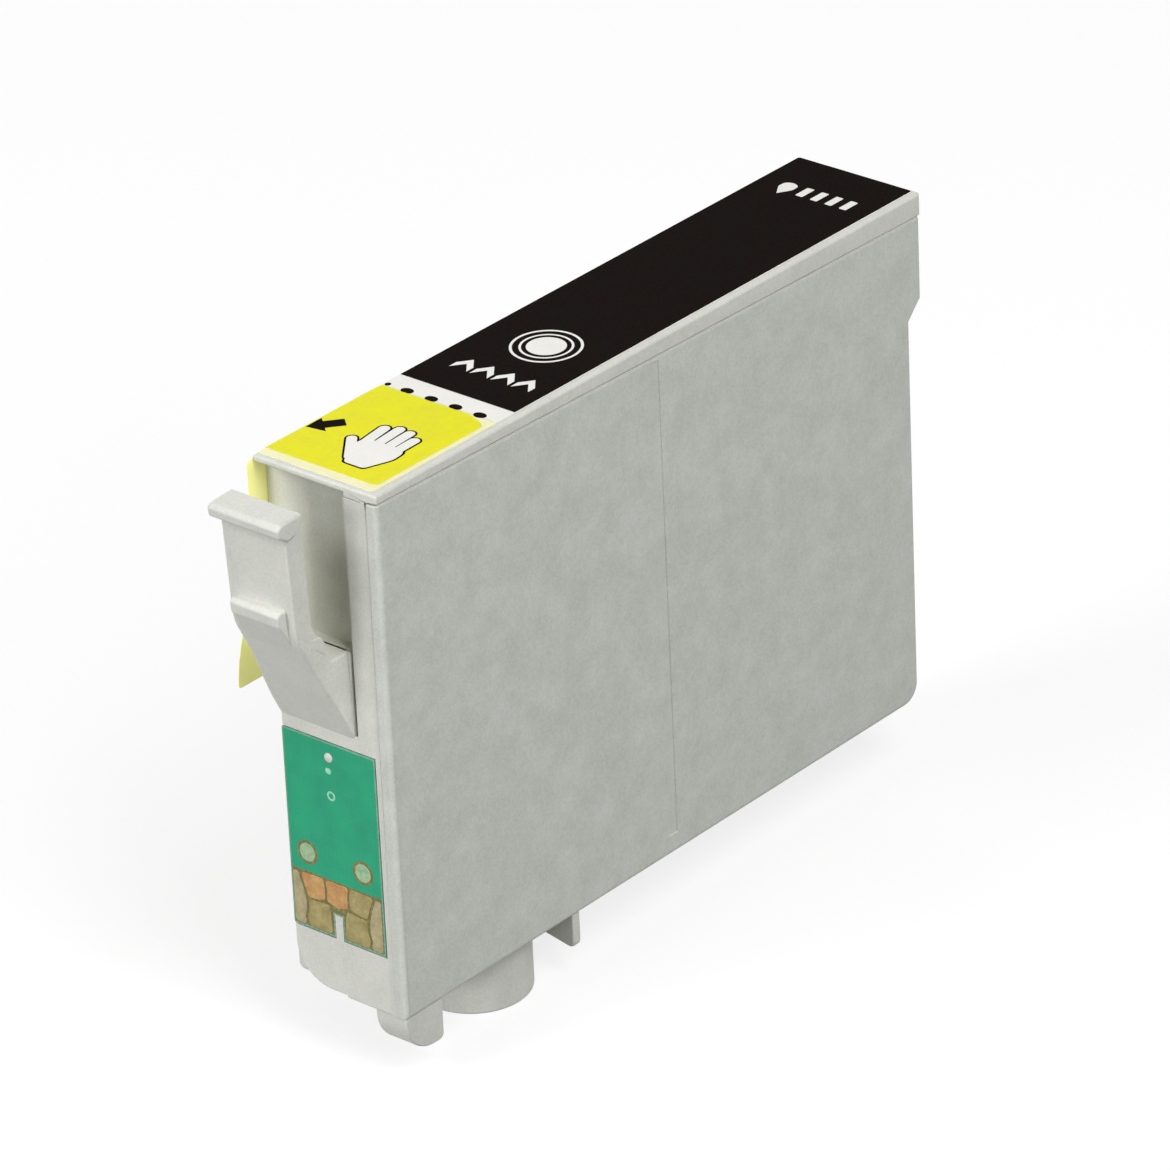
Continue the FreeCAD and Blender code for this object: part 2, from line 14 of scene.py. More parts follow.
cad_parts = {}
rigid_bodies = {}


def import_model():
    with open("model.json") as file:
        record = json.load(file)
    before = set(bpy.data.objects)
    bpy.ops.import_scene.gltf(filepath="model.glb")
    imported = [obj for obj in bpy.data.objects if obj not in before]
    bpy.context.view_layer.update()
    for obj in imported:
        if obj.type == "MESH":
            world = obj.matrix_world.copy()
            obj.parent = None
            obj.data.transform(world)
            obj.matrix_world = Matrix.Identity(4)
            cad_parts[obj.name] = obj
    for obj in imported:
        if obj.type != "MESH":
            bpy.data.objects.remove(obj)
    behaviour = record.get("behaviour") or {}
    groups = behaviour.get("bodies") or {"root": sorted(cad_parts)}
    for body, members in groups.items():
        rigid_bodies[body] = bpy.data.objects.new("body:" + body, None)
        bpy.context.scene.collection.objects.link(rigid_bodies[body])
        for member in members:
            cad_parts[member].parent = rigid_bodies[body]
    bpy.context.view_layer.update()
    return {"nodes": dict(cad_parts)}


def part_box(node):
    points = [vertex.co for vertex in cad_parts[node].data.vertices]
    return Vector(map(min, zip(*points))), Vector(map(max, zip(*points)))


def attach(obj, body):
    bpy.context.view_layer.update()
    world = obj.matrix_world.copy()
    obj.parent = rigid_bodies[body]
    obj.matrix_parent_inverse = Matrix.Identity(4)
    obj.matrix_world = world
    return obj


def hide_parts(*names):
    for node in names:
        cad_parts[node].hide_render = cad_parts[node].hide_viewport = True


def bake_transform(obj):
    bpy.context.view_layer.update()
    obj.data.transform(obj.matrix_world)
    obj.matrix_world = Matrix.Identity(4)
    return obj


log = logging.getLogger("cartridge")

# Sizes below are in millimetres, from the front face, the middle of the width and the
# underside of the tank. The frame's origin is the middle of the outlet's mouth.
MM = 0.001
OUTLET_X = 15.0
OUTLET_DROP = 5.9
PLACE = Matrix.Translation((-OUTLET_X * MM, 0.0, OUTLET_DROP * MM)) @ Matrix.Scale(MM, 4)
# How many steps a plate's rounded rim has, and how sharply (in degrees) an edge turns to stay sharp
RIM_STEPS = 3
SHARP = 38.0

Point = tuple[float, float]
Point3 = tuple[float, float, float]
Mesh = bmesh.types.BMesh
Piece = bpy.types.Object
Tree = bpy.types.NodeTree
Socket = bpy.types.NodeSocket


class Axis(Enum):
    """The direction an outline is drawn out in, with the places of its two own directions."""

    ACROSS = (0, 2, 1)
    ALONG = (1, 2, 0)
    UP = (0, 1, 2)


class Grain(Enum):
    """The kind of fine relief and tone a surface has."""

    MOULDED = "moulded"
    PRINTED = "printed"
    WOVEN = "woven"
    CELLS = "cells"
    FIBRES = "fibres"
    BRUSHED = "brushed"
    MESH = "mesh"


class Work(Enum):
    """What the other meshes do to the first: join it, or cut it."""

    JOIN = "UNION"
    CUT = "DIFFERENCE"


def linear(code: str) -> tuple[float, float, float, float]:
    """Turns an sRGB hex colour into a linear one.

    Args:
        code: The colour, such as "#A0B0C0".

    Returns:
        Red, green, blue and an alpha of 1.
    """
    parts = [int(code[i : i + 2], 16) / 255 for i in (1, 3, 5)]
    made = [c / 12.92 if c <= 0.04045 else ((c + 0.055) / 1.055) ** 2.4 for c in parts]
    return (made[0], made[1], made[2], 1.0)


def add(tree: Tree, kind: str, values: dict | None = None, **settings) -> bpy.types.Node:
    """Adds a node with its settings, and sets or links its inputs.

    Args:
        tree: The tree it goes into.
        kind: The node's type name.
        values: What each input, by name or place, is set to. A socket is linked.
        **settings: The node's own properties.

    Returns:
        The new node.
    """
    node = tree.nodes.new(kind)
    for key, value in settings.items():
        setattr(node, key, value)
    for key, value in (values or {}).items():
        if isinstance(value, Socket):
            tree.links.new(value, node.inputs[key])
        else:
            node.inputs[key].default_value = value
    return node


def emptied(owner: bpy.types.Material | bpy.types.World) -> Tree:
    """Turns on the nodes of a material or a world.

    Args:
        owner: The material or the world.

    Returns:
        Its tree, with no nodes.
    """
    owner.use_nodes = True
    owner.node_tree.nodes.clear()
    return owner.node_tree


@dataclass(frozen=True)
class Finish:
    """A surface finish, built as nodes on Object coordinates.

    Sizes are in millimetres: mottle and grain_size are the widths of a patch and of a grain, and
    depth is how far the grain stands out. Contrast is half the range of tone between the dark and
    the light colour, speck is the grain's share in the tone, and glow is the light it gives off.
    """

    name: str
    light: str
    dark: str
    rough: float
    grain: Grain = Grain.MOULDED
    mottle: float = 3.0
    grain_size: float = 0.35
    depth: float = 0.004
    rough_spread: float = 0.08
    metallic: float = 0.0
    ior: float = 1.5
    subsurface: float = 0.0
    transmission: float = 0.0
    contrast: float = 0.25
    speck: float = 0.4
    gloss: float = 0.5
    glow: float = 0.0

    def build(self) -> bpy.types.Material:
        """Builds the finish's material, once.

        Returns:
            The material.
        """
        made = bpy.data.materials.get(self.name)
        if made:
            return made
        made = bpy.data.materials.new(self.name)
        made.diffuse_color = linear(self.light)
        tree = emptied(made)
        place = add(tree, "ShaderNodeTexCoord").outputs["Object"]
        height = self.relief(tree, place)
        noise = {"Vector": place, "Scale": 1 / (self.mottle * MM), "Detail": 3.0, "Roughness": 0.55}
        cloud = add(tree, "ShaderNodeTexNoise", noise).outputs["Fac"]
        parts = {0: height, 1: self.speck, 2: cloud}
        blend = add(tree, "ShaderNodeMath", parts, operation="MULTIPLY_ADD").outputs[0]
        middle = 0.5 + 0.5 * self.speck
        reach = {"Value": blend, "From Min": middle - self.contrast, "From Max": middle + self.contrast}
        tone = add(tree, "ShaderNodeMapRange", reach).outputs["Result"]
        tones = {0: tone, 6: linear(self.dark), 7: linear(self.light)}
        colour = add(tree, "ShaderNodeMix", tones, data_type="RGBA").outputs[2]
        reach = {
            "Value": cloud,
            "From Min": 0.3,
            "From Max": 0.7,
            "To Min": self.rough - self.rough_spread,
            "To Max": self.rough + self.rough_spread,
        }
        rough = add(tree, "ShaderNodeMapRange", reach).outputs["Result"]
        raised = {"Height": height, "Strength": 1.0, "Distance": self.depth * MM}
        bump = add(tree, "ShaderNodeBump", raised).outputs["Normal"]
        surface = {
            "Base Color": colour,
            "Roughness": rough,
            "Normal": bump,
            "Metallic": self.metallic,
            "IOR": self.ior,
            "Subsurface Weight": self.subsurface,
            "Subsurface Radius": (0.6, 0.6, 0.55),
            "Subsurface Scale": MM,
            "Transmission Weight": self.transmission,
            "Specular IOR Level": self.gloss,
            "Emission Color": linear(self.light),
            "Emission Strength": self.glow,
        }
        shader = add(tree, "ShaderNodeBsdfPrincipled", surface)
        add(tree, "ShaderNodeOutputMaterial", {"Surface": shader.outputs[0]})
        return made

    def relief(self, tree: Tree, place: Socket) -> Socket:
        """Adds the grain's nodes.

        Args:
            tree: The material's tree.
            place: The coordinates the grain lies on.

        Returns:
            The grain's height, from 0 to 1.
        """
        scale = 1 / (self.grain_size * MM)
        if self.grain in (Grain.WOVEN, Grain.MESH):
            # A wave has a bit over three bands to a unit of its scale.
            wave = {"Vector": place, "Scale": scale / 3.2, "Distortion": 0.4, "Detail": 1.0}
            waves = [
                add(tree, "ShaderNodeTexWave", wave, bands_direction=side).outputs["Fac"]
                for side in ("X" if self.grain is Grain.MESH else "Z", "Y")
            ]
            crossed = {0: waves[0], 1: waves[1]}
            return add(tree, "ShaderNodeMath", crossed, operation="MULTIPLY").outputs[0]
        if self.grain is Grain.CELLS:
            return add(tree, "ShaderNodeTexVoronoi", {"Vector": place, "Scale": scale}).outputs["Distance"]
        lengthened = {Grain.FIBRES: (1.0, 0.2, 0.6), Grain.BRUSHED: (0.06, 1.0, 1.0)}
        stretch = lengthened.get(self.grain, (1.0, 1.0, 1.0))
        mapped = add(tree, "ShaderNodeMapping", {"Vector": place, "Scale": stretch}).outputs[0]
        noise = {"Vector": mapped, "Scale": scale, "Detail": 2.0, "Roughness": 0.5}
        return add(tree, "ShaderNodeTexNoise", noise).outputs["Fac"]


# The real grains are too fine to show: spark-eroded texture, ink specks and brush lines are about
# 0.05 mm wide and filter wires 0.04 mm. They are drawn at about 0.1 to 0.5 mm. The board's weave
# of 0.5 mm and the foam's cells of 0.45 mm are at their real size.

# Natural polypropylene, injection moulded in a spark-eroded tool: a satin, faintly cloudy grey white
SHELL = Finish(
    "moulded_polypropylene", "#DADAD3", "#C8C9C1", 0.5, mottle=2.6, grain_size=0.22, depth=0.005,
    subsurface=0.08, contrast=0.34, speck=1.0, gloss=0.4,
)
# The same plastic in the welded cover, given a greyer copy of the shell's colour, so that the side face it
# makes renders darker
COVER = Finish(
    "moulded_polypropylene_cover", "#D1D4CD", "#BDBFB8", 0.52, mottle=2.4, grain_size=0.22, depth=0.005,
    subsurface=0.06, contrast=0.34, speck=1.0, gloss=0.35,
)
# Black screen ink on vinyl film: nearly flat black with a fine dry speck
BLACK_PRINT = Finish(
    "black_ink_on_vinyl", "#19120F", "#0C0807", 0.75, Grain.PRINTED, 1.2, 0.25, 0.001, speck=1.0, gloss=0.01
)
# White vinyl film, the face stock of the sticker: clean, with a dull sheen
WHITE_VINYL = Finish(
    "white_vinyl_film", "#EDECE6", "#E2E1DA", 0.45, Grain.PRINTED, 3.0, 0.3, 0.001, gloss=0.3
)
# Yellow ink on the pull-off film: strong and even, with little gloss
YELLOW_PRINT = Finish(
    "yellow_ink_on_film", "#EBE71A", "#E3DD0E", 0.5, Grain.PRINTED, 1.6, 0.3, 0.001, gloss=0.05
)
# The pull-off film past its print: pale polyester yellowed by its glue
CREAM_FILM = Finish(
    "cream_polyester_film", "#F1EEC2", "#E6E3AC", 0.4, Grain.PRINTED, 2.0, 0.4, 0.001, gloss=0.25
)
# The hanging tail of the film, yellowed by its glue: the daylight that such a thin film lets
# through is painted on as a faint glow, though the film is no lamp
TAIL_FILM_PAINTED_GLOW = Finish(
    "glue_yellowed_film_painted_glow", "#F6F4A6", "#ECEA8C", 0.4, Grain.PRINTED, 2.0, 0.4, 0.001, gloss=0.2, glow=0.2
)
# Glass-epoxy laminate at the board's cut edges: pale mint green with the weave showing
LAMINATE = Finish(
    "glass_epoxy_laminate", "#8CBBA2", "#6C9F86", 0.55, Grain.WOVEN, 0.8, 0.5, 0.003, gloss=0.3
)
# The same laminate between the contacts, stained olive by flux
STAINED = Finish(
    "flux_stained_laminate", "#8F8757", "#6F6A40", 0.55, Grain.WOVEN, 0.8, 0.5, 0.003, gloss=0.3
)
# Green solder mask over the laminate: satin, and bluer in patches where copper lies under it
MASK = Finish(
    "green_solder_mask", "#27A578", "#1C9672", 0.42, Grain.WOVEN, 2.2, 0.45, 0.001, speck=0.12, gloss=0.25
)
# Thin solder mask over a filled hole, paler than the rest
MASK_PALE = Finish(
    "pale_solder_mask", "#B5E3CC", "#7CC7A6", 0.42, Grain.PRINTED, 0.6, 0.2, 0.001, gloss=0.25
)
# Gold flash over copper, worn coppery where pins wiped it
COPPERY_GOLD = Finish(
    "worn_gold_on_copper", "#C4A468", "#AE7444", 0.42, Grain.BRUSHED, 1.1, 0.2, 0.002,
    metallic=0.45, speck=0.5,
)
# Gold flash with a greenish cast from the mask's edge
GREENISH_GOLD = Finish(
    "gold_flashed_copper", "#AB9F6A", "#887B49", 0.42, Grain.BRUSHED, 1.0, 0.2, 0.002,
    metallic=0.45, speck=0.5,
)
# Gold flash on the outer contacts, dull and tan
TAN_GOLD = Finish(
    "dull_gold_on_copper", "#B4A984", "#938660", 0.45, Grain.BRUSHED, 1.0, 0.2, 0.002,
    metallic=0.4, speck=0.5,
)
# Tinned copper of the round test pads, pale and greyed green by flux
TINNED = Finish(
    "tinned_copper", "#A6C097", "#7FA57F", 0.42, Grain.BRUSHED, 0.5, 0.2, 0.002, metallic=0.3, speck=0.8
)
# Nitrile rubber of the seal: dark, matt and slightly dusty
RUBBER = Finish("nitrile_rubber_seal", "#3A3B3D", "#2A2B2C", 0.68, mottle=1.5, grain_size=0.25, depth=0.006)
# Acetal valve: smooth milky plastic
ACETAL = Finish("moulded_acetal", "#E6E6E1", "#D8D8D2", 0.35, mottle=2.0, grain_size=0.3, depth=0.002)
# Drawn stainless spring wire: bright, with fine lines
SPRING = Finish(
    "drawn_stainless_wire", "#C7C9CB", "#A9ACAF", 0.26, Grain.BRUSHED, 0.8, 0.08, 0.002, metallic=1.0
)
# Woven stainless filter cloth: grey metal with dark gaps
SCREEN = Finish(
    "woven_stainless_cloth", "#B9BCBE", "#4A4C4E", 0.35, Grain.MESH, 2.0, 0.22, 0.04, metallic=1.0
)
# Pressed polyester felt soaked with black ink: wet black fibres
FELT = Finish("ink_soaked_felt", "#1B1A1F", "#0B0A0D", 0.6, Grain.FIBRES, 1.0, 0.2, 0.06)
# Open-cell polyurethane foam soaked with black ink: dark open cells
FOAM = Finish("ink_soaked_foam", "#201F25", "#070609", 0.5, Grain.CELLS, 2.0, 0.45, 0.15)
# Black ink: a wet, glossy surface
INK = Finish(
    "black_ink_liquid", "#08070A", "#050406", 0.08, mottle=6.0, grain_size=2.0, depth=0.002,
    rough_spread=0.02, ior=1.34,
)
# Porous fluoropolymer vent membrane: chalky white
MEMBRANE = Finish("porous_vent_membrane", "#F1F1EE", "#DDDDD8", 0.75, Grain.FIBRES, 0.6, 0.12)
# Clear polypropylene film over the vent grooves: see-through, with a soft shine
CLEAR_FILM = Finish(
    "clear_polypropylene_film", "#F4F6F6", "#E7EAEA", 0.18, mottle=4.0, grain_size=0.5, depth=0.001,
    transmission=0.7,
)
# Black epoxy drop over the chip: smooth and glossy
RESIN = Finish("black_epoxy_resin", "#1C1C1D", "#121213", 0.3, mottle=1.0, grain_size=0.3, depth=0.003)
# Acrylic transfer adhesive: tacky, cloudy cream
GLUE = Finish("acrylic_adhesive", "#D9D3B8", "#C9C2A4", 0.45, mottle=1.0, grain_size=0.3, depth=0.01)


def signed_area(points: Sequence[Point]) -> float:
    """Returns twice the area inside an outline, positive when it runs anticlockwise."""
    following = [*points[1:], points[0]]
    return sum(a[0] * b[1] - b[0] * a[1] for a, b in zip(points, following))


def unit(a: Point, b: Point) -> Point:
    """Returns the unit step from one point to another."""
    size = math.dist(a, b) or 1.0
    return (b[0] - a[0]) / size, (b[1] - a[1]) / size


def oblong(low: Point, high: Point) -> list[Point]:
    """Returns the corners of an upright rectangle, anticlockwise from its low corner."""
    return [low, (high[0], low[1]), high, (low[0], high[1])]


def rounded(points: Sequence[Point], radii: float | Sequence[float], steps: int = 5) -> list[Point]:
    """Rounds an outline's corners.

    Args:
        points: The outline's corners in order.
        radii: One radius for all, or one for each corner.
        steps: Points along each rounded corner, less one.

    Returns:
        The new outline.
    """
    sizes = [radii] * len(points) if isinstance(radii, (int, float)) else list(radii)
    out: list[Point] = []
    for i, corner in enumerate(points):
        before, after = points[i - 1], points[(i + 1) % len(points)]
        back, on = unit(corner, before), unit(corner, after)
        opening = math.acos(max(-1.0, min(1.0, back[0] * on[0] + back[1] * on[1])))
        if sizes[i] <= 0 or opening > math.pi - 0.01:
            out.append(corner)
            continue
        most = 0.49 * min(math.dist(corner, before), math.dist(corner, after))
        reach = min(sizes[i] / math.tan(opening / 2), most)
        radius = reach * math.tan(opening / 2)
        middle = unit((0.0, 0.0), (back[0] + on[0], back[1] + on[1]))
        far = radius / math.sin(opening / 2)
        centre = (corner[0] + middle[0] * far, corner[1] + middle[1] * far)
        first = (corner[0] + back[0] * reach, corner[1] + back[1] * reach)
        last = (corner[0] + on[0] * reach, corner[1] + on[1] * reach)
        start = math.atan2(first[1] - centre[1], first[0] - centre[0])
        sweep = math.atan2(last[1] - centre[1], last[0] - centre[0]) - start
        sweep = (sweep + math.pi) % (2 * math.pi) - math.pi
        out += arc(centre, radius, start, sweep, steps)
    return out


def arc(centre: Point, radius: float, start: float, sweep: float, steps: int) -> list[Point]:
    """Returns the points of an arc, one more than its steps, with its angles in radians."""
    turns = [start + sweep * step / steps for step in range(steps + 1)]
    return [(centre[0] + radius * math.cos(a), centre[1] + radius * math.sin(a)) for a in turns]


def drawn_in(points: Sequence[Point], inset: float) -> list[Point]:
    """Moves an anticlockwise outline's sides inwards.

    Args:
        points: The outline.
        inset: How far each side moves.

    Returns:
        The new outline.
    """
    out = []
    for i, here in enumerate(points):
        before, after = unit(points[i - 1], here), unit(here, points[(i + 1) % len(points)])
        n1, n2 = (-before[1], before[0]), (-after[1], after[0])
        share = max(0.3, 1 + n1[0] * n2[0] + n1[1] * n2[1])
        out.append((here[0] + inset * (n1[0] + n2[0]) / share, here[1] + inset * (n1[1] + n2[1]) / share))
    return out


def circle(centre: Point, radius: float, count: int = 40) -> list[Point]:
    """Returns a circle's points, anticlockwise."""
    return arc(centre, radius, 0.0, 2 * math.pi, count)[:count]


def capsule(start: Point, end: Point, radius: float) -> list[Point]:
    """Returns the outline of a bar with round ends."""
    side = math.atan2(end[1] - start[1], end[0] - start[0]) - math.pi / 2
    return arc(end, radius, side, math.pi, 8) + arc(start, radius, side + math.pi, math.pi, 8)


def ring(mesh: Mesh, axis: Axis, points: Iterable[Point], level: float) -> list[bmesh.types.BMVert]:
    """Adds an outline's points to a mesh.

    Args:
        mesh: The mesh they go into.
        axis: The direction the outline is drawn out in.
        points: The outline in the axis's own two directions.
        level: Its place along the axis.

    Returns:
        The new points.
    """
    made = []
    for u, v in points:
        place = Vector((0.0, 0.0, 0.0))
        place[axis.value[0]], place[axis.value[1]], place[axis.value[2]] = u, v, level
        made.append(mesh.verts.new(place))
    return made


def skin(mesh: Mesh, rings: Sequence[Sequence[bmesh.types.BMVert]]) -> list[bmesh.types.BMFace]:
    """Adds the faces between each ring of points and the next.

    Args:
        mesh: The mesh they go into.
        rings: The rings, all with the same number of points.

    Returns:
        The new faces.
    """
    made = []
    for lower, upper in zip(rings, rings[1:]):
        for i in range(len(lower)):
            j = (i + 1) % len(lower)
            made.append(mesh.faces.new((lower[i], lower[j], upper[j], upper[i])))
    return made


def settle(mesh: Mesh, axis: Axis, faces: Sequence[bmesh.types.BMFace], slot: int) -> None:
    """Turns new faces outwards and gives them their material slot.

    Args:
        mesh: The mesh they are in.
        axis: The direction their piece is drawn out in.
        faces: The faces.
        slot: The material slot.
    """
    if axis is Axis.ACROSS:
        bmesh.ops.reverse_faces(mesh, faces=faces)
    for face in faces:
        face.material_index = slot


def plate(
    mesh: Mesh,
    outline: Sequence[Point],
    axis: Axis,
    low: float,
    high: float,
    rim: float = 0.0,
    slot: int = 0,
    rims: tuple[bool, bool] = (True, True),
) -> None:
    """Adds a closed plate with rounded rims.

    Args:
        mesh: The mesh it goes into.
        outline: Its outline in the axis's own two directions.
        axis: The direction it is drawn out in.
        low: Where it starts along the axis.
        high: Where it ends.
        rim: Radius of the rims.
        slot: Material slot of its faces.
        rims: Whether the low and the high end have a rim.
    """
    points = list(outline) if signed_area(outline) > 0 else list(reversed(outline))
    turns = [math.pi / 2 * k / RIM_STEPS for k in range(RIM_STEPS + 1)]
    levels: list[tuple[float, float]] = []
    for end, way, rimmed in ((low, 1, rims[0]), (high, -1, rims[1])):
        part = [(0.0, end)]
        if rim > 0 and rimmed:
            part = [(rim * (1 - math.sin(a)), end + way * rim * (1 - math.cos(a))) for a in turns]
        levels += part[::way]
    rings = []
    for inset, level in levels:
        rings.append(ring(mesh, axis, drawn_in(points, inset) if inset else points, level))
    ends = [mesh.faces.new(rings[0][::-1]), mesh.faces.new(rings[-1])]
    settle(mesh, axis, ends + skin(mesh, rings), slot)


def ring_plate(
    mesh: Mesh,
    centre: Point,
    outer: float,
    inner: float,
    axis: Axis,
    low: float,
    high: float,
    slot: int = 0,
    count: int = 56,
) -> None:
    """Adds a closed flat ring.

    Args:
        mesh: The mesh it goes into.
        centre: Its middle in the axis's own two directions.
        outer: Its outer radius.
        inner: Its inner radius.
        axis: The direction it is drawn out in.
        low: Where it starts along the axis.
        high: Where it ends.
        slot: Material slot of its faces.
        count: Points round each edge.
    """
    edges = ((inner, low), (outer, low), (outer, high), (inner, high))
    rings = [ring(mesh, axis, circle(centre, radius, count), level) for radius, level in edges]
    settle(mesh, axis, skin(mesh, rings + rings[:1]), slot)


def turned(mesh: Mesh, profile: Sequence[Point], centre: Point, count: int) -> None:
    """Adds a closed round piece about an upright axis.

    Args:
        mesh: The mesh it goes into.
        profile: Closed profile as (radius, height), no radius at 0.
        centre: The axis's place in x and y.
        count: Sides round the axis.
    """
    if signed_area(profile) < 0:
        profile = list(reversed(profile))
    loops = []
    for k in range(count):
        angle = 2 * math.pi * k / count
        turn = (math.cos(angle), math.sin(angle))
        places = [(centre[0] + r * turn[0], centre[1] + r * turn[1], z) for r, z in profile]
        loops.append([mesh.verts.new(place) for place in places])
    for k, loop in enumerate(loops):
        following = loops[(k + 1) % count]
        for i in range(len(profile)):
            j = (i + 1) % len(profile)
            mesh.faces.new((loop[i], following[i], following[j], loop[j]))


def put(name: str, data: bpy.types.ID) -> Piece:
    """Puts a new object in the scene.

    Args:
        name: The object's name.
        data: Its mesh, light or camera.

    Returns:
        The new object, at the origin.
    """
    made = bpy.data.objects.new(name, data)
    bpy.context.scene.collection.objects.link(made)
    return made


def plain(name: str, mesh: Mesh) -> bpy.types.Mesh:
    """Turns a mesh that is being built into a plain one.

    Args:
        name: The plain mesh's name.
        mesh: The mesh, which is freed.

    Returns:
        The plain mesh.
    """
    shape = bpy.data.meshes.new(name)
    mesh.to_mesh(shape)
    mesh.free()
    return shape


def finished(name: str, mesh: Mesh, finishes: Iterable[Finish]) -> Piece:
    """Turns a mesh in millimetres into an object at the origin, smoothly shaded, with its finishes.

    Args:
        name: The piece's name.
        mesh: The mesh, which is freed.
        finishes: The finish of each material slot.

    Returns:
        The new object.
    """
    mesh.transform(PLACE)
    bmesh.ops.dissolve_degenerate(mesh, edges=mesh.edges[:], dist=1e-8)
    for face in mesh.faces:
        face.smooth = True
    for edge in mesh.edges:
        edge.smooth = len(edge.link_faces) == 2 and edge.calc_face_angle(0.0) < math.radians(SHARP)
    made = put(name, plain(name, mesh))
    for finish in finishes:
        made.data.materials.append(finish.build())
    weighted = made.modifiers.new("even_shading", "WEIGHTED_NORMAL")
    weighted.keep_sharp = True
    log.info("%s: %d faces", name, len(made.data.polygons))
    return made


def applied(piece: Piece) -> bpy.types.Mesh:
    """Applies an object's modifiers.

    Args:
        piece: The object, which is removed.

    Returns:
        Its new mesh.
    """
    bpy.context.view_layer.update()
    shape = bpy.data.meshes.new_from_object(piece.evaluated_get(bpy.context.evaluated_depsgraph_get()))
    discard(piece)
    return shape


def discard(piece: Piece) -> None:
    """Removes an object and its mesh.

    Args:
        piece: The object.
    """
    data = piece.data
    bpy.data.objects.remove(piece)
    bpy.data.meshes.remove(data)


def join(mesh: Mesh, shape: bpy.types.Mesh) -> Mesh:
    """Adds a plain mesh's shells to a mesh.

    Args:
        mesh: The mesh.
        shape: The plain mesh, which is removed.

    Returns:
        The mesh.
    """
    mesh.from_mesh(shape)
    bpy.data.meshes.remove(shape)
    return mesh


def combined(meshes: Sequence[Mesh], work: Work) -> Mesh:
    """Joins closed meshes to the first or cuts them out of it.

    Args:
        meshes: The meshes, which are freed.
        work: What the others do to the first.

    Returns:
        The new closed mesh.
    """
    first, *others = [put("part", plain("part", mesh)) for mesh in meshes]
    for other in others:
        step = first.modifiers.new("step", "BOOLEAN")
        step.operation, step.solver, step.object = work.value, "EXACT", other
    mesh = join(bmesh.new(), applied(first))
    for other in others:
        discard(other)
    # Where one edge runs on in line with another, a slit that has no width is left.
    bmesh.ops.holes_fill(mesh, edges=[edge for edge in mesh.edges if edge.is_boundary], sides=3)
    return mesh


def copied(node: Piece) -> Mesh:
    """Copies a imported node's mesh.

    Args:
        node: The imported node, which is left as it is.

    Returns:
        A closed copy in millimetres, with its flat faces whole.
    """
    mesh = bmesh.new()
    mesh.from_mesh(node.data)
    mesh.transform(PLACE.inverted())
    bmesh.ops.remove_doubles(mesh, verts=mesh.verts[:], dist=2e-3)
    flat = {"angle_limit": math.radians(1.0), "delimit": {"NORMAL"}}
    bmesh.ops.dissolve_limit(mesh, verts=mesh.verts[:], edges=mesh.edges[:], **flat)
    return mesh


def soften(mesh: Mesh, width: float, wanted: Callable[[Vector, Vector], bool]) -> None:
    """Rounds some of a mesh's sharp outer edges.

    Args:
        mesh: The mesh, in millimetres.
        width: How wide the rounding is, in millimetres.
        wanted: Says from an edge's two ends, in millimetres, whether it is rounded.
    """
    least_turn = math.radians(40)
    chosen = [
        edge
        for edge in mesh.edges
        if len(edge.link_faces) == 2
        and edge.is_convex
        and edge.calc_face_angle(0.0) > least_turn
        and wanted(edge.verts[0].co, edge.verts[1].co)
    ]
    bmesh.ops.bevel(
        mesh,
        geom=chosen,
        offset=width,
        offset_type="OFFSET",
        segments=3,
        profile=0.5,
        affect="EDGES",
        clamp_overlap=False,
    )


def started(name: str, inputs: dict[str, str]) -> tuple[Tree, bpy.types.NodeOutputs]:
    """Starts a geometry node tree.

    Args:
        name: The tree's name.
        inputs: The kind of each named input, such as "Float".

    Returns:
        The tree, and the sockets its inputs come from.
    """
    tree = bpy.data.node_groups.new(name, "GeometryNodeTree")
    for label, kind in inputs.items():
        tree.interface.new_socket(label, in_out="INPUT", socket_type="NodeSocket" + kind)
    tree.interface.new_socket("Geometry", in_out="OUTPUT", socket_type="NodeSocketGeometry")
    return tree, add(tree, "NodeGroupInput").outputs


def grown(name: str, tree: Tree, shape: Socket, finish: Socket, sizes: dict[str, object]) -> Piece:
    """Ends a geometry node tree and makes a plain mesh object from it.

    Args:
        name: The piece's name.
        tree: The tree.
        shape: The geometry it has made.
        finish: The input that carries the finish.
        sizes: The value of each named input.

    Returns:
        The new object, at the origin.
    """
    whole = add(tree, "GeometryNodeRealizeInstances", {"Geometry": shape}).outputs[0]
    painted = add(tree, "GeometryNodeSetMaterial", {"Geometry": whole, "Material": finish}).outputs[0]
    add(tree, "NodeGroupOutput", {0: painted})
    carrier = put("node_carrier", bpy.data.meshes.new("node_carrier"))
    nodes = carrier.modifiers.new("grow", "NODES")
    nodes.node_group = tree
    for item in tree.interface.items_tree:
        if item.in_out == "INPUT":
            nodes[item.identifier] = sizes[item.name]
    data = applied(carrier)
    data.name = name
    log.info("%s: %d faces", name, len(data.polygons))
    return put(name, data)


def dress(piece: Piece, body: str, slot: str, *nodes: str) -> None:
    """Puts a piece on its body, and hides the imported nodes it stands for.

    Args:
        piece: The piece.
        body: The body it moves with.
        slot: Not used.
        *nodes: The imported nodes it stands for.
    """
    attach(piece, body)
    if nodes:
        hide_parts(*nodes)


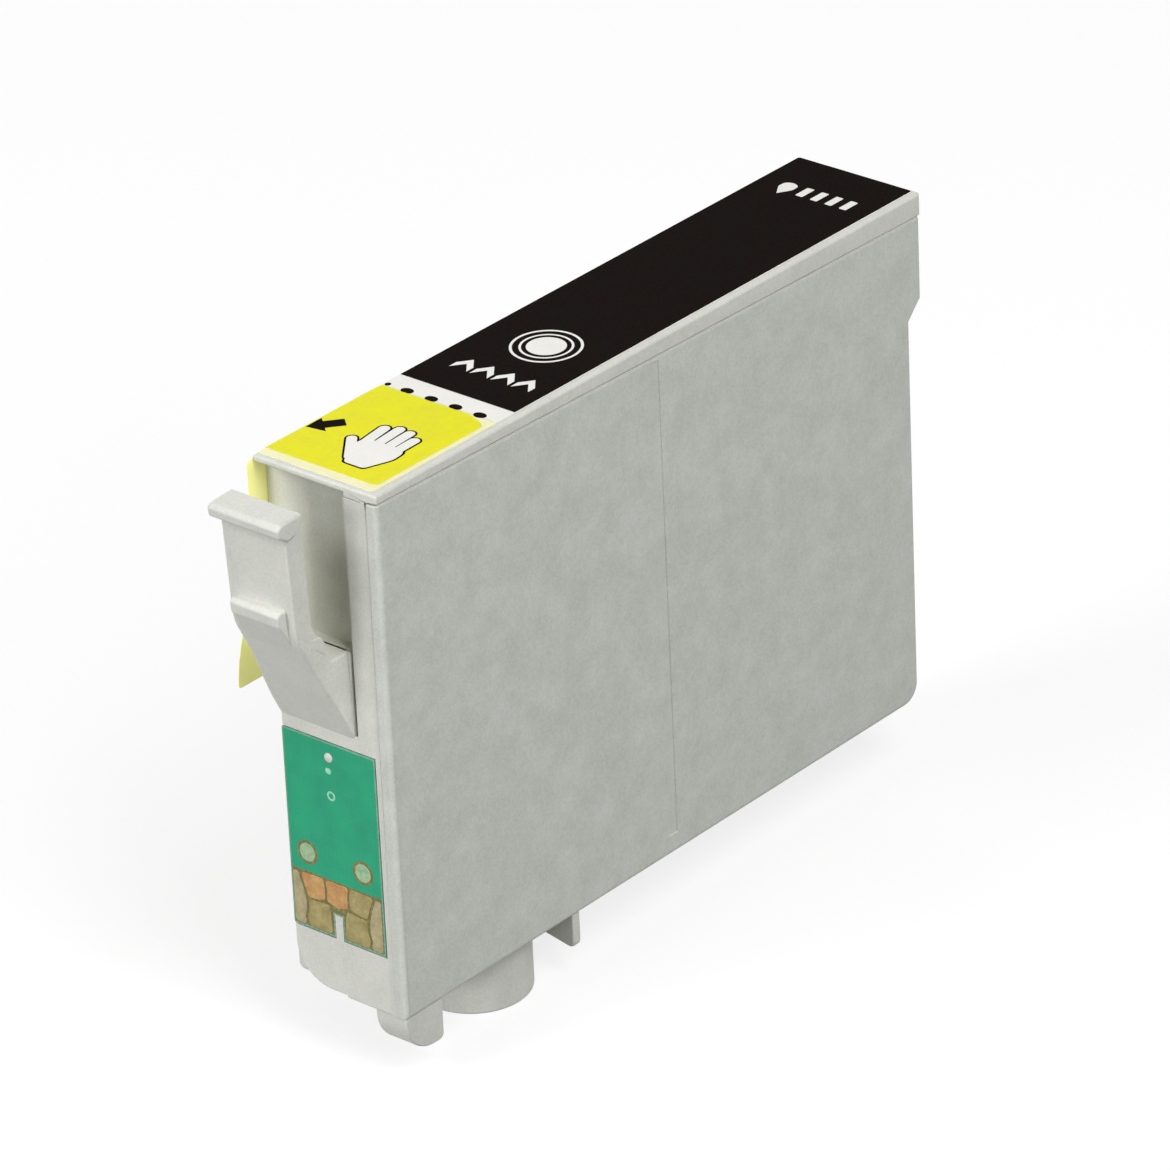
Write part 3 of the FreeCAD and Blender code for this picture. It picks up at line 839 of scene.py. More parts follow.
@dataclass
class Shell:
    """The moulded tank and its welded cover."""

    length: float = 67.0
    half_width: float = 6.3
    height: float = 46.0
    edge: float = 0.22
    cover_edge: float = 0.12
    root_z: float = 24.0
    root_top: float = 45.0
    root_reach: float = 12.0
    label_zone: float = 1.0
    label_front: float = 0.5
    label_half: float = 5.6
    inner_half: float = 5.2
    inner_ends: Point = (2.0, 65.0)
    inner_floor: float = 0.05
    inner_roof: float = 0.5
    chip_depth: float = 1.2
    chip_ends: Point = (4.9, 23.2)
    bore_zone: float = 4.0
    shortest: float = 0.02
    seam_front: float = 0.8
    seam_back: float = 2.0
    seam_gap: float = 0.1
    seam_end: float = 0.4
    front_seam: Point = (-5.3, -4.7)
    post: Point = (0.305, 21.49)

    def outer(self, a: Vector, b: Vector) -> bool:
        """Says whether an edge lies on the outside, clear of the chip's seat, the bore and the label.

        Args:
            a: One end of the edge.
            b: Its other end.

        Returns:
            Whether the edge is to be rounded.
        """
        middle = (a + b) / 2
        x, y, z = middle.x, abs(middle.y), middle.z
        under_label = z > self.height - self.label_zone and y < self.label_half and x > self.label_front
        within = self.inner_ends[0] < x < self.inner_ends[1]
        inside = within and y < self.inner_half and self.inner_floor < z < self.height - self.inner_roof
        chip = x < self.chip_depth and self.chip_ends[0] < z < self.chip_ends[1]
        bore = math.dist((x, y), (OUTLET_X, 0.0)) < self.bore_zone
        return not (under_label or inside or chip or bore or (a - b).length < self.shortest)

    def build(self, nodes: dict[str, Piece]) -> None:
        """Builds the tank, without the lever's root, and the cover.

        Args:
            nodes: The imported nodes.
        """
        cutter = bmesh.new()
        zone = oblong((-self.root_reach, self.root_z - 2), (0.0, self.root_top))
        plate(cutter, zone, Axis.ACROSS, -5.0, 8.0)
        # The lever's own skin takes over in front of the tank's front face.
        mesh = combined([copied(nodes["tank_body"]), cutter], Work.CUT)
        soften(mesh, self.edge, self.outer)
        self.weld(mesh)
        self.post_head(mesh)
        dress(finished("tank_skin", mesh, [SHELL]), "tank", "shell", "tank_body")
        mesh = copied(nodes["side_cover"])
        soften(mesh, self.cover_edge, self.outer)
        dress(finished("side_cover_skin", mesh, [COVER]), "tank", "shell", "side_cover")

    def weld(self, mesh: Mesh) -> None:
        """Fills the seams over and in front of the cover with their shallow weld bead.

        Args:
            mesh: The tank's mesh.
        """
        # The bead ends a few hundredths off the faces round it, so that no two lie in one plane.
        fall = (self.seam_back - self.seam_front) / self.length
        ends = (self.seam_end, self.length - self.seam_end)
        top = [(x, self.height - self.seam_front - fall * x + 0.01) for x in ends]
        bottom = [(x, z - self.seam_gap - 0.02) for x, z in reversed(top)]
        plate(mesh, top + bottom, Axis.ACROSS, -self.half_width + 0.03, -self.half_width + 1.0)
        low, high = self.front_seam
        front = oblong((low, 0.1), (high, self.height - self.seam_front - 0.05))
        plate(mesh, front, Axis.ALONG, 0.004, 0.7)

    def post_head(self, mesh: Mesh) -> None:
        """Adds the heat-formed head of the post that holds the board.

        Args:
            mesh: The tank's mesh.
        """
        dome = [(0.02, 0.0), (0.42, 0.0), (0.4, 0.07), (0.28, 0.13), (0.02, 0.16)]
        head = bmesh.new()
        turned(head, dome, (0.0, 0.0), 24)
        head.transform(Matrix.Translation((0.0, *self.post)) @ Matrix.Rotation(-math.pi / 2, 4, "Y"))
        join(mesh, plain("head", head))


@dataclass
class Latch:
    """The springy lever in front of the tank, with its root, lip and catch.

    Its points are given by how deep they lie behind its front, and by how far they lie up the
    leaning leg or below the top of the upright one.
    """

    root_z: float = 24.0
    lean: float = 27.0
    upright_lean: float = 3.5
    knee_rise: float = 10.7
    rise: float = 21.3
    thickness: float = 1.9
    bend_up: float = 8.4
    bend_ends: Point = (7.4, 9.4)
    bend_steps: tuple[float, ...] = (7.8, 8.2, 8.6, 9.0, 9.5, 10.2)
    floor_z: float = 31.5
    right: float = -2.3
    left: float = 4.3
    root_right: float = -2.6
    root_left: float = 5.13
    flare: float = 2.25
    sunk: float = 0.4
    lip_half: float = 3.65
    catch_half: float = 2.5
    catch_rise: float = 13.3
    catch_height: float = 4.4

    def step(self, start: Point, angle: float, distance: float, depth: float) -> Point:
        """Walks from a point up a leg and behind its front.

        Args:
            start: Where it starts.
            angle: The leg's lean in degrees.
            distance: How far up the leg.
            depth: How far behind its front.

        Returns:
            The point reached.
        """
        turn = math.radians(angle)
        return (
            start[0] - math.sin(turn) * distance + math.cos(turn) * depth,
            start[1] + math.cos(turn) * distance + math.sin(turn) * depth,
        )

    def knee(self, depth: float) -> Point:
        """Finds where the legs meet.

        Args:
            depth: How far behind their fronts.

        Returns:
            The point.
        """
        corner = (-math.tan(math.radians(self.lean)) * self.knee_rise, self.root_z + self.knee_rise)
        half = math.radians((self.lean - self.upright_lean) / 2)
        return self.step(corner, (self.lean + self.upright_lean) / 2, 0, depth / math.cos(half))

    def low(self, distance: float, depth: float) -> Point:
        """Returns a point on the leaning leg."""
        return self.step((0.0, self.root_z), self.lean, distance, depth)

    def high(self, depth: float, below: float) -> Point:
        """Returns a point on the upright leg, a height below its top."""
        reach = (self.rise - self.knee_rise - below) / math.cos(math.radians(self.upright_lean))
        return self.step(self.knee(0), self.upright_lean, reach, depth)

    def blade(self) -> Mesh:
        """Makes the blade and its root, closely divided where it bends.

        Returns:
            The blade's mesh.
        """
        deep = self.thickness
        run = [self.low(d, 0) for d in (2.0, 4.0, 6.0, 6.8, self.bend_ends[0], *self.bend_steps)]
        back_low = self.low(self.bend_up, deep)
        floor_x = back_low[0] + (back_low[1] - self.floor_z) * math.tan(math.radians(self.lean))
        back = [self.low(d, deep) for d in reversed(self.bend_steps)]
        points = [(self.sunk, self.root_z), (0.0, self.root_z), *run]
        points += [self.knee(0), self.high(0, 0), self.high(deep, 0), self.knee(deep)]
        points += [*back, (floor_x, self.floor_z), (self.sunk, self.floor_z)]
        sizes = [0.0, 0.25] + [0.0] * len(run) + [4.4, 0.3, 0.45, 2.5] + [0.0] * len(back) + [0.35, 0.0]
        mesh = bmesh.new()
        plate(mesh, rounded(points, sizes, 6), Axis.ACROSS, self.right, self.left, 0.22)
        return mesh

    def widen(self, mesh: Mesh) -> None:
        """Spreads the blade's sides out towards its root.

        Args:
            mesh: The blade's mesh.
        """
        top = self.low(self.bend_up, 0)[1]
        straight = self.root_z + self.flare
        for vert in mesh.verts:
            share = min(1.0, max(0.0, (top - vert.co.z) / (top - straight)))
            across = (vert.co.y - self.right) / (self.left - self.right)
            low = self.right + share * (self.root_right - self.right)
            high = self.left + share * (self.root_left - self.left)
            vert.co.y = low + across * (high - low)

    def bar(self, points: Sequence[Point], radii: Sequence[float], half: float, rim: float) -> Mesh:
        """Makes a bar across the blade's middle.

        Args:
            points: Its side outline.
            radii: The radius of each of its corners.
            half: Half its width.
            rim: Radius of its rims.

        Returns:
            The bar's mesh.
        """
        mesh = bmesh.new()
        middle = (self.left + self.right) / 2
        plate(mesh, rounded(points, radii), Axis.ACROSS, middle - half, middle + half, rim)
        return mesh

    def lip(self) -> Mesh:
        """Makes the finger lip at the top.

        Returns:
            The lip's mesh.
        """
        places = [(0.9, 1.6), (0.0, 1.75), (-0.95, 1.05), (-1.0, 0.35), (-0.6, 0.0), (1.9, 0.0), (1.9, 0.7)]
        points = [self.high(depth, below) for depth, below in places]
        return self.bar(points, [0, 0.5, 0.3, 0.3, 0.4, 0.35, 0.3], self.lip_half, 0.25)

    def catch(self) -> Mesh:
        """Makes the catch at the knee.

        Returns:
            The catch's mesh.
        """
        below = self.rise - self.catch_rise
        leg = self.knee_rise / math.cos(math.radians(self.lean))
        foot = leg - (self.catch_height - (self.catch_rise - self.knee_rise))
        middle = self.thickness / 2
        places = [(middle, 0.0), (-0.62, 0.0), (-0.95, 0.3), (-0.9, 1.15)]
        points = [self.high(depth, below + lower) for depth, lower in places]
        points += [self.low(foot, 0), self.low(foot, middle), self.knee(middle)]
        return self.bar(points, [0, 0.3, 0.3, 0.35, 0.3, 0, 0], self.catch_half, 0.22)

    def stub(self) -> Mesh:
        """Makes the small moulded stub beside the root.

        Returns:
            The stub's mesh.
        """
        points = [(-3.9, 33.2), (-3.4, 33.2), (-2.35, 32.25), (-2.35, 33.3), (-2.75, 34.05), (-3.9, 34.2)]
        mesh = bmesh.new()
        outline = rounded(points, [0, 0, 0.1, 0.2, 0.15, 0])
        plate(mesh, outline, Axis.ACROSS, self.right - 0.05, self.right + 0.7, 0.06)
        return mesh

    def build(self) -> None:
        """Builds the lever's skin and hides the imported lever."""
        blade = self.blade()
        self.widen(blade)
        skinned = combined([blade, self.lip(), self.catch(), self.stub()], Work.JOIN)
        made = finished("latch_lever_skin", skinned, [SHELL])
        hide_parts("latch_lever")
        places = [self.low(distance, self.thickness / 2) for distance in self.bend_ends]
        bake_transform(made)


@dataclass
class Board:
    """The memory chip's board with its mask, marks and contacts."""

    right: float = -4.52
    left: float = 5.13
    low: float = 5.24
    high: float = 22.84
    middle: float = 0.305
    thickness: float = 0.8
    mask_low: float = 10.4
    border: float = 0.16
    pad_height: float = 0.055
    mask_height: float = 0.02
    mark_height: float = 0.026
    stain_height: float = 0.008
    bedded: float = 0.01
    notch_half: float = 0.45
    notch_rise: float = 2.15
    notch_margin: float = 0.1
    test_z: float = 12.15
    test_y: Point = (3.2, -2.59)
    test_radius: float = 0.8
    test_ring: float = 1.06

    def notched(self, inset: float, top: float) -> list[Point]:
        """Outlines the board, or a lower part of it, with the notch in its low side.

        Args:
            inset: How far inside the board's sides it stays.
            top: The height it ends at.

        Returns:
            The outline.
        """
        margin = self.notch_margin if inset else 0.0
        half, rise = self.notch_half + margin, self.low + self.notch_rise + margin
        right, left, low = self.right + inset, self.left - inset, self.low + inset
        notch = [(self.middle - half, low), (self.middle - half, rise)]
        notch += [(self.middle + half, rise), (self.middle + half, low)]
        return [(right, low), *notch, (left, low), (left, top), (right, top)]

    def pads(self) -> list[tuple[Finish, list[Point]]]:
        """Outlines the seven contacts.

        Returns:
            Each contact's finish and outline.
        """
        side = [(4.9, 5.5), (3.66, 5.5), (3.84, 6.2), (3.62, 7.0), (3.64, 7.9), (3.95, 9.0)]
        side += [(4.36, 10.1), (4.9, 10.1)]
        upper = [(4.1, 10.2), (1.7, 10.25), (1.55, 9.3), (1.65, 8.35), (2.4, 8.15), (3.4, 8.1), (3.66, 8.95)]
        lower = [(3.38, 7.88), (1.3, 8.05), (1.08, 7.45), (1.0, 5.5), (3.42, 5.5), (3.6, 6.2), (3.36, 7.0)]
        centre = [(1.5, 10.25), (-0.89, 10.25), (-0.74, 9.2), (-0.82, 8.35), (0.305, 8.02), (1.43, 8.35)]
        centre += [(1.35, 9.2)]
        made = [(COPPERY_GOLD, centre)]
        for outline, near, far in (
            (side, TAN_GOLD, TAN_GOLD),
            (upper, COPPERY_GOLD, GREENISH_GOLD),
            (lower, GREENISH_GOLD, GREENISH_GOLD),
        ):
            made += [(near, outline), (far, [(2 * self.middle - y, z) for y, z in outline])]
        return made

    def laminate(self) -> None:
        """Builds the board's core, with its notch."""
        mesh = bmesh.new()
        radii = [0.15, 0.1, 0.44, 0.44, 0.1, 0.15, 0.15, 0.15]
        plate(mesh, rounded(self.notched(0.0, self.high), radii), Axis.ALONG, 0.0, self.thickness, 0.04)
        dress(finished("chip_board_laminate", mesh, [LAMINATE]), "tank", "board_green", "chip_board")

    def mask(self) -> None:
        """Builds the solder mask, the pale marks on it and the stain round the contacts."""
        mesh = bmesh.new()
        edge = self.border
        field = oblong((self.right + edge, self.mask_low), (self.left - edge, self.high - edge))
        level = (-self.mask_height, self.bedded, 0.01)
        plate(mesh, rounded(field, 0.12), Axis.ALONG, *level, rims=(True, False))
        finishes = [MASK, MASK_PALE, STAINED]
        pale, stained = finishes.index(MASK_PALE), finishes.index(STAINED)
        marks = (-self.mark_height, 0.0)
        filled_hole = [(0.2, 19.95), (0.75, 20.1), (0.7, 20.55), (0.1, 20.5)]
        plate(mesh, rounded(filled_hole, 0.2), Axis.ALONG, *marks, slot=pale)
        ring_plate(mesh, (0.28, 18.1), 0.42, 0.24, Axis.ALONG, *marks, slot=pale, count=28)
        for y in self.test_y:
            middle = (y, self.test_z)
            ring_plate(mesh, middle, self.test_ring, self.test_radius, Axis.ALONG, *marks, stained, 40)
        stain = self.notched(edge, self.mask_low)
        plate(mesh, stain, Axis.ALONG, -self.stain_height, self.bedded, slot=stained)
        dress(finished("chip_board_mask", mesh, finishes), "tank", "board_green")

    def contacts(self) -> None:
        """Builds the seven contacts and the two test pads."""
        mesh = bmesh.new()
        level = (-self.pad_height, 0.02, 0.02)
        finishes = [COPPERY_GOLD, GREENISH_GOLD, TAN_GOLD, TINNED]
        outlines = [(finish, rounded(outline, 0.3)) for finish, outline in self.pads()]
        outlines += [(TINNED, circle((y, self.test_z), self.test_radius)) for y in self.test_y]
        for finish, outline in outlines:
            plate(mesh, outline, Axis.ALONG, *level, slot=finishes.index(finish), rims=(True, False))
        dress(finished("contact_pads_gold", mesh, finishes), "tank", "contact_gold", "contact_pads")

    def build(self) -> None:
        """Builds the board, its mask and its contacts."""
        self.laminate()
        self.mask()
        self.contacts()


@dataclass
class Outlet:
    """The seal and the valve's spring in the outlet under the tank."""

    mouth_z: float = -5.9
    bore: float = 2.2
    seat: float = 3.2
    seal_height: float = 2.5
    seal_corner: float = 0.12
    seal_sides: int = 72
    wire: float = 0.35
    wire_sides: int = 12
    coil: float = 1.725
    turns: float = 5.0
    turn_steps: int = 40

    def build(self) -> None:
        """Builds the seal and the spring."""
        self.seal()
        self.spring()

    def seal(self) -> None:
        """Builds the seal with its lead-in and its rounded lip."""
        mesh = bmesh.new()
        low, high = self.mouth_z, self.mouth_z + self.seal_height
        profile = [
            (self.seat, low + 0.1),
            (self.seat, high),
            (self.bore + 0.35, high),
            (self.bore + 0.1, high - 0.1),
            (self.bore, high - 0.35),
            (self.bore, low + 0.7),
            (self.bore + 0.45, low + 0.12),
            (self.bore + 0.65, low + 0.02),
            (self.seat - 0.15, low),
        ]
        turned(mesh, rounded(profile, self.seal_corner, 3), (OUTLET_X, 0.0), self.seal_sides)
        dress(finished("outlet_seal_ring", mesh, [RUBBER]), "tank", "seal_rubber", "outlet_seal")

    def spring(self) -> None:
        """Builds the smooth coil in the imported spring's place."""
        low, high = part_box("valve_spring")
        inputs = dict.fromkeys(("Turns", "Radius", "Height", "Wire"), "Float")
        tree, given = started("coil_spring", {**inputs, "Finish": "Material"})
        helix = {
            "Resolution": self.turn_steps,
            "Rotations": given["Turns"],
            "Start Radius": given["Radius"],
            "End Radius": given["Radius"],
            "Height": given["Height"],
        }
        coil = add(tree, "GeometryNodeCurveSpiral", helix).outputs[0]
        round_wire = {"Resolution": self.wire_sides, "Radius": given["Wire"]}
        section = add(tree, "GeometryNodeCurvePrimitiveCircle", round_wire).outputs[0]
        sweep = {"Curve": coil, "Profile Curve": section, "Fill Caps": True}
        swept = add(tree, "GeometryNodeCurveToMesh", sweep).outputs[0]
        smooth = add(tree, "GeometryNodeSetShadeSmooth", {"Geometry": swept}).outputs[0]
        wire = self.wire * MM / 2
        sizes = {
            "Turns": self.turns,
            "Radius": self.coil * MM,
            "Height": high.z - low.z - 2 * wire,
            "Wire": wire,
            "Finish": SPRING.build(),
        }
        made = grown("valve_spring_coil", tree, smooth, given["Finish"], sizes)
        made.data.transform(Matrix.Translation((0.0, 0.0, low.z + wire)))
        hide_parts("valve_spring")
        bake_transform(made)


@dataclass
class TopStickers:
    """The dark label on the top and the pull-off tape folded over the long edge."""

    top: float = 46.0
    sheet: float = 0.06
    ink: float = 0.018
    mark: float = 0.01
    margin: float = 0.03
    front: float = 14.9
    back: float = 66.85
    low_y: float = -5.6
    high_y: float = 6.15
    corner: float = 0.25
    band_end: float = 17.05
    hole_count: int = 4
    hole_pitch: float = 2.48
    hole_first: float = 3.74
    hole_x: float = 15.12
    hole_radius: float = 0.52
    hole_shape: Point3 = (0.82, 1.12, 1.0)
    hole_sides: int = 28
    hole_depth: float = 0.05
    hole_proud: float = 0.016
    end_hole: Point3 = (15.15, 5.75, 0.26)
    target: Point = (27.4, 0.0)
    target_rings: tuple[Point, ...] = ((2.95, 2.72), (2.2, 2.0))
    target_dot: float = 1.62
    tape_front: float = 0.5
    tape_back: float = 14.85
    fold_radius: float = 0.25
    fold_steps: int = 6
    side_y: float = 6.3
    straight_end: float = 38.0
    tail_low: float = 25.1
    tail_flare: float = 2.5
    tail_front: float = -0.6
    tail_back: float = 9.4
    tail_steps: int = 10
    print_height: float = 0.008
    outline_width: float = 0.17
    mark_count: int = 4
    tape_finishes: tuple[Finish, ...] = (CREAM_FILM, YELLOW_PRINT, BLACK_PRINT, WHITE_VINYL, TAIL_FILM_PAINTED_GLOW)

    def slot(self, finish: Finish) -> int:
        """Returns the material slot of one of the tape's finishes."""
        return self.tape_finishes.index(finish)

    def build(self) -> None:
        """Builds the label, its print, the perforation and the tape."""
        self.label()
        self.perforation()
        self.tape()

    def label(self) -> None:
        """Builds the white film, the black field and the white marks."""
        mesh = bmesh.new()
        base = self.top + self.sheet
        field = base + self.ink
        for front, margin, low, high, slot in (
            (self.front, 0.0, self.top, base, 0),
            (self.band_end, self.margin, base, field, 1),
        ):
            outline = oblong((front, self.low_y + margin), (self.back - margin, self.high_y - margin))
            corner = self.corner - margin
            plate(mesh, rounded(outline, [0.0, corner, corner, 0.0]), Axis.UP, low, high, slot=slot)
        mark = (field, field + self.mark)
        for outer, inner in self.target_rings:
            ring_plate(mesh, self.target, outer, inner, Axis.UP, *mark)
        plate(mesh, circle(self.target, self.target_dot, 56), Axis.UP, *mark)
        self.press_marks(mesh, mark)
        self.ink_marks(mesh, mark)
        # The round hole at the row's end is a black disc set in the film, for the dark that shows in it.
        x, y, radius = self.end_hole
        plate(mesh, circle((x, y), radius, 20), Axis.UP, base - self.margin, base + self.mark, slot=1)
        made = finished("top_label_print", mesh, [WHITE_VINYL, BLACK_PRINT])
        dress(made, "tank", "label_dark", "top_label")

    def press_marks(self, mesh: Mesh, level: Point) -> None:
        """Adds the row of chevrons that points to the pressing target.

        Args:
            mesh: The label's mesh.
            level: Where a mark starts and ends in height.
        """
        front, depth, bold, half = 20.3, 1.95, 0.85, 0.88
        first, pitch = 3.05, 2.1
        for place in range(self.mark_count):
            y = first - pitch * place
            chevron = [
                (front, y + half),
                (front + bold, y + half),
                (front + depth, y),
                (front + bold, y - half),
                (front, y - half),
                (front + depth - bold, y),
            ]
            plate(mesh, chevron, Axis.UP, *level)

    def ink_marks(self, mesh: Mesh, level: Point) -> None:
        """Adds the ink drop and a row of bars.

        Args:
            mesh: The label's mesh.
            level: Where a mark starts and ends in height.
        """
        drop = [(60.2, 3.2), (61.4, 3.95), (62.3, 3.9), (62.5, 3.2), (62.3, 2.5), (61.4, 2.45)]
        plate(mesh, rounded(drop, [0, 0.7, 0.5, 0.4, 0.5, 0.7]), Axis.UP, *level)
        front, back, half = 60.75, 62.45, 0.36
        first, pitch = 1.35, 1.5
        for place in range(self.mark_count):
            y = first - pitch * place
            plate(mesh, rounded(oblong((front, y - half), (back, y + half)), 0.12), Axis.UP, *level)

    def perforation(self) -> None:
        """Builds the row of tear holes with a node tree."""
        inputs = {
            "Count": "Int",
            "Pitch": "Vector",
            "Start": "Vector",
            "Radius": "Float",
            "Depth": "Float",
            "Finish": "Material",
        }
        tree, given = started("tear_holes", inputs)
        row = {"Count": given["Count"], "Start Location": given["Start"], "Offset": given["Pitch"]}
        line = add(tree, "GeometryNodeMeshLine", row, mode="OFFSET").outputs[0]
        disc = {"Vertices": self.hole_sides, "Radius": given["Radius"], "Depth": given["Depth"]}
        hole = add(tree, "GeometryNodeMeshCylinder", disc).outputs[0]
        spread = {"Points": line, "Instance": hole, "Scale": self.hole_shape}
        holes = add(tree, "GeometryNodeInstanceOnPoints", spread).outputs[0]
        # The holes are not cut through the label: each is a black disc standing a hair proud of it, for the
        # dark that shows in the hole.
        height = self.top + self.sheet + self.hole_proud - self.hole_depth / 2
        sizes = {
            "Count": self.hole_count,
            "Pitch": (0.0, -self.hole_pitch * MM, 0.0),
            "Start": tuple(PLACE @ Vector((self.hole_x, self.hole_first, height))),
            "Radius": self.hole_radius * MM,
            "Depth": self.hole_depth * MM,
            "Finish": BLACK_PRINT.build(),
        }
        dress(grown("label_tear_holes", tree, holes, given["Finish"], sizes), "tank", "label_dark")

    def bend(self) -> float:
        """Returns the run at which the tape leaves the flat top."""
        return self.side_y - self.fold_radius

    def side(self) -> float:
        """Returns the run at which the tape has turned down the side."""
        return self.bend() + self.fold_radius * math.pi / 2

    def at_height(self, height: float) -> float:
        """Returns the run of a place on the tape's hanging part."""
        return self.side() + self.top - self.fold_radius - height

    def on_tape(self, x: float, run: float, rise: float) -> Vector:
        """Says where a point of the flat tape lies once it is folded.

        Args:
            x: Its place along the tank.
            run: Its distance across the tape, which is y on the top.
            rise: Its height over the tape's glued side.

        Returns:
            The folded place.
        """
        if run <= self.bend():
            return Vector((x, run, self.top + rise))
        reach = self.fold_radius + rise
        turn = (run - self.bend()) / self.fold_radius
        if turn <= math.pi / 2:
            height = self.top - self.fold_radius + reach * math.cos(turn)
            return Vector((x, self.bend() + reach * math.sin(turn), height))
        level = self.top - self.fold_radius - (run - self.side())
        if level >= self.straight_end:
            return Vector((x, self.side_y + rise, level))
        length = self.straight_end - self.tail_low
        part = min(1.0, (self.straight_end - level) / length)
        out = self.side_y + self.tail_flare * part * part * (3 - 2 * part)
        slope = math.atan(6 * self.tail_flare * part * (1 - part) / length)
        return Vector((x, out + rise * math.cos(slope), level + rise * math.sin(slope)))

    def fold(self, mesh: Mesh) -> None:
        """Cuts a flat tape mesh across its folds and lays it over the edge.

        Args:
            mesh: The tape's mesh.
        """
        first, last = self.at_height(self.straight_end), self.at_height(self.tail_low)
        turn = self.side() - self.bend()
        cuts = [self.bend() + turn * k / self.fold_steps for k in range(self.fold_steps + 1)]
        cuts += [first + (last - first) * k / self.tail_steps for k in range(self.tail_steps)]
        for run in cuts:
            cut = {"plane_co": (0, run, 0), "plane_no": (0, 1, 0), "dist": 1e-5}
            bmesh.ops.bisect_plane(mesh, geom=mesh.verts[:] + mesh.edges[:] + mesh.faces[:], **cut)
        for vert in mesh.verts:
            vert.co = self.on_tape(*vert.co)

    def tape(self) -> None:
        """Builds the tape's film, its yellow print and its pictures."""
        end = self.at_height(self.tail_low)
        edge = self.side_y + 0.15
        film = bmesh.new()
        outline = [
            (self.tape_front, self.low_y),
            (self.tape_back, self.low_y),
            (self.tape_back, edge),
            (self.tail_back, edge + 0.3),
            (self.tail_back, end),
            (self.tail_front, end),
            (self.tail_front, edge + 0.3),
            (self.tape_front, edge - 0.1),
        ]
        radii = [0.5, 0.0, 0.05, 0.4, 2.0, 0.3, 0.3, 0.4]
        plate(film, rounded(outline, radii, 6), Axis.UP, 0.0, self.sheet)
        inside = [
            (1.4, -5.15),
            (13.9, -5.15),
            (14.75, -3.0),
            (14.75, edge - 0.4),
            (self.tail_back - 0.1, edge),
            (self.tail_back - 0.1, end - 0.1),
            (self.tail_front + 0.1, end - 0.1),
            (self.tail_front + 0.1, edge + 0.6),
            (1.4, edge - 0.1),
        ]
        radii = [0.4, 0.9, 1.6, 0.1, 0.4, 1.9, 0.2, 0.3, 0.4]
        printed = self.slot(YELLOW_PRINT)
        plate(film, rounded(inside, radii, 6), Axis.UP, self.sheet, self.sheet + self.ink, slot=printed)
        self.fold(film)
        # The hanging part takes the tail's finish, with its painted glow.
        for face in film.faces:
            if face.calc_center_median().z < self.top - 0.2:
                face.material_index = self.slot(TAIL_FILM_PAINTED_GLOW)
        prints = bmesh.new()
        low = self.top + self.sheet + self.ink
        self.arrow(prints, low)
        self.hand(prints, low)
        join(film, plain("prints", prints))
        dress(finished("pull_tape_film", film, self.tape_finishes), "tank", "tape_yellow", "pull_tape")

    def arrow(self, mesh: Mesh, low: float) -> None:
        """Adds the black arrow that points off the long edge.

        Args:
            mesh: The mesh of the tape's pictures.
            low: The height it stands on.
        """
        tip, turn = Vector((5.85, 6.0)), math.atan2(1.75, -2.05)
        shape = [(0.0, 0.0), (-1.4, 1.2), (-1.4, 0.6), (-3.1, 0.6), (-3.1, -0.6), (-1.4, -0.6), (-1.4, -1.2)]
        along, across = Vector((math.cos(turn), math.sin(turn))), Vector((-math.sin(turn), math.cos(turn)))
        outline = [tuple(tip + along * a + across * b) for a, b in shape]
        plate(mesh, outline, Axis.UP, low, low + self.print_height, slot=self.slot(BLACK_PRINT))

    def hand(self, mesh: Mesh, low: float) -> None:
        """Adds the picture of a pulling hand: white fingers and palm with a black outline.

        Args:
            mesh: The mesh of the tape's pictures.
            low: The height it stands on.
        """
        # Each finger's and the thumb's two ends and radius
        bars = [
            ((5.8, -2.55), (8.8, -2.5), 0.46),
            ((5.8, -1.6), (9.5, -1.4), 0.46),
            ((5.8, -0.6), (9.6, -0.3), 0.46),
            ((5.6, 0.35), (9.1, 0.8), 0.46),
            ((3.9, -0.2), (6.4, 1.75), 0.42),
        ]
        palm = [(3.0, -2.4), (5.4, -3.35), (7.2, -3.2), (7.0, 0.9), (5.6, 1.0), (3.0, -0.4)]
        for wider, finish, base in (
            (self.outline_width, BLACK_PRINT, low),
            (0.0, WHITE_VINYL, low + self.print_height),
        ):
            slot = self.slot(finish)
            for index, (start, end, radius) in enumerate(bars):
                # Each bar is a hair higher than the last, so that no two tops lie in one plane.
                top = base + self.print_height + 0.0004 * index
                plate(mesh, capsule(start, end, radius + wider), Axis.UP, base, top, slot=slot)
            outline = rounded(drawn_in(palm, -wider), [0.5, 1.8, 1.2, 0.4, 0.5, 0.5])
            plate(mesh, outline, Axis.UP, base, base + self.print_height + 0.003, slot=slot)


@dataclass(frozen=True)
class Lamp:
    """A soft square lamp that looks at the object, in metres and watts."""

    name: str
    place: Point3
    size: float
    power: float
    aim: Point3 = (0.017, 0.0, 0.028)

    def build(self) -> None:
        """Builds the lamp."""
        data = bpy.data.lights.new(self.name, "AREA")
        data.shape = "SQUARE"
        data.size = self.size
        data.energy = self.power
        made = put(self.name, data)
        made.location = self.place
        made.rotation_mode = "QUATERNION"
        made.rotation_quaternion = (Vector(self.aim) - Vector(self.place)).to_track_quat("-Z", "Y")


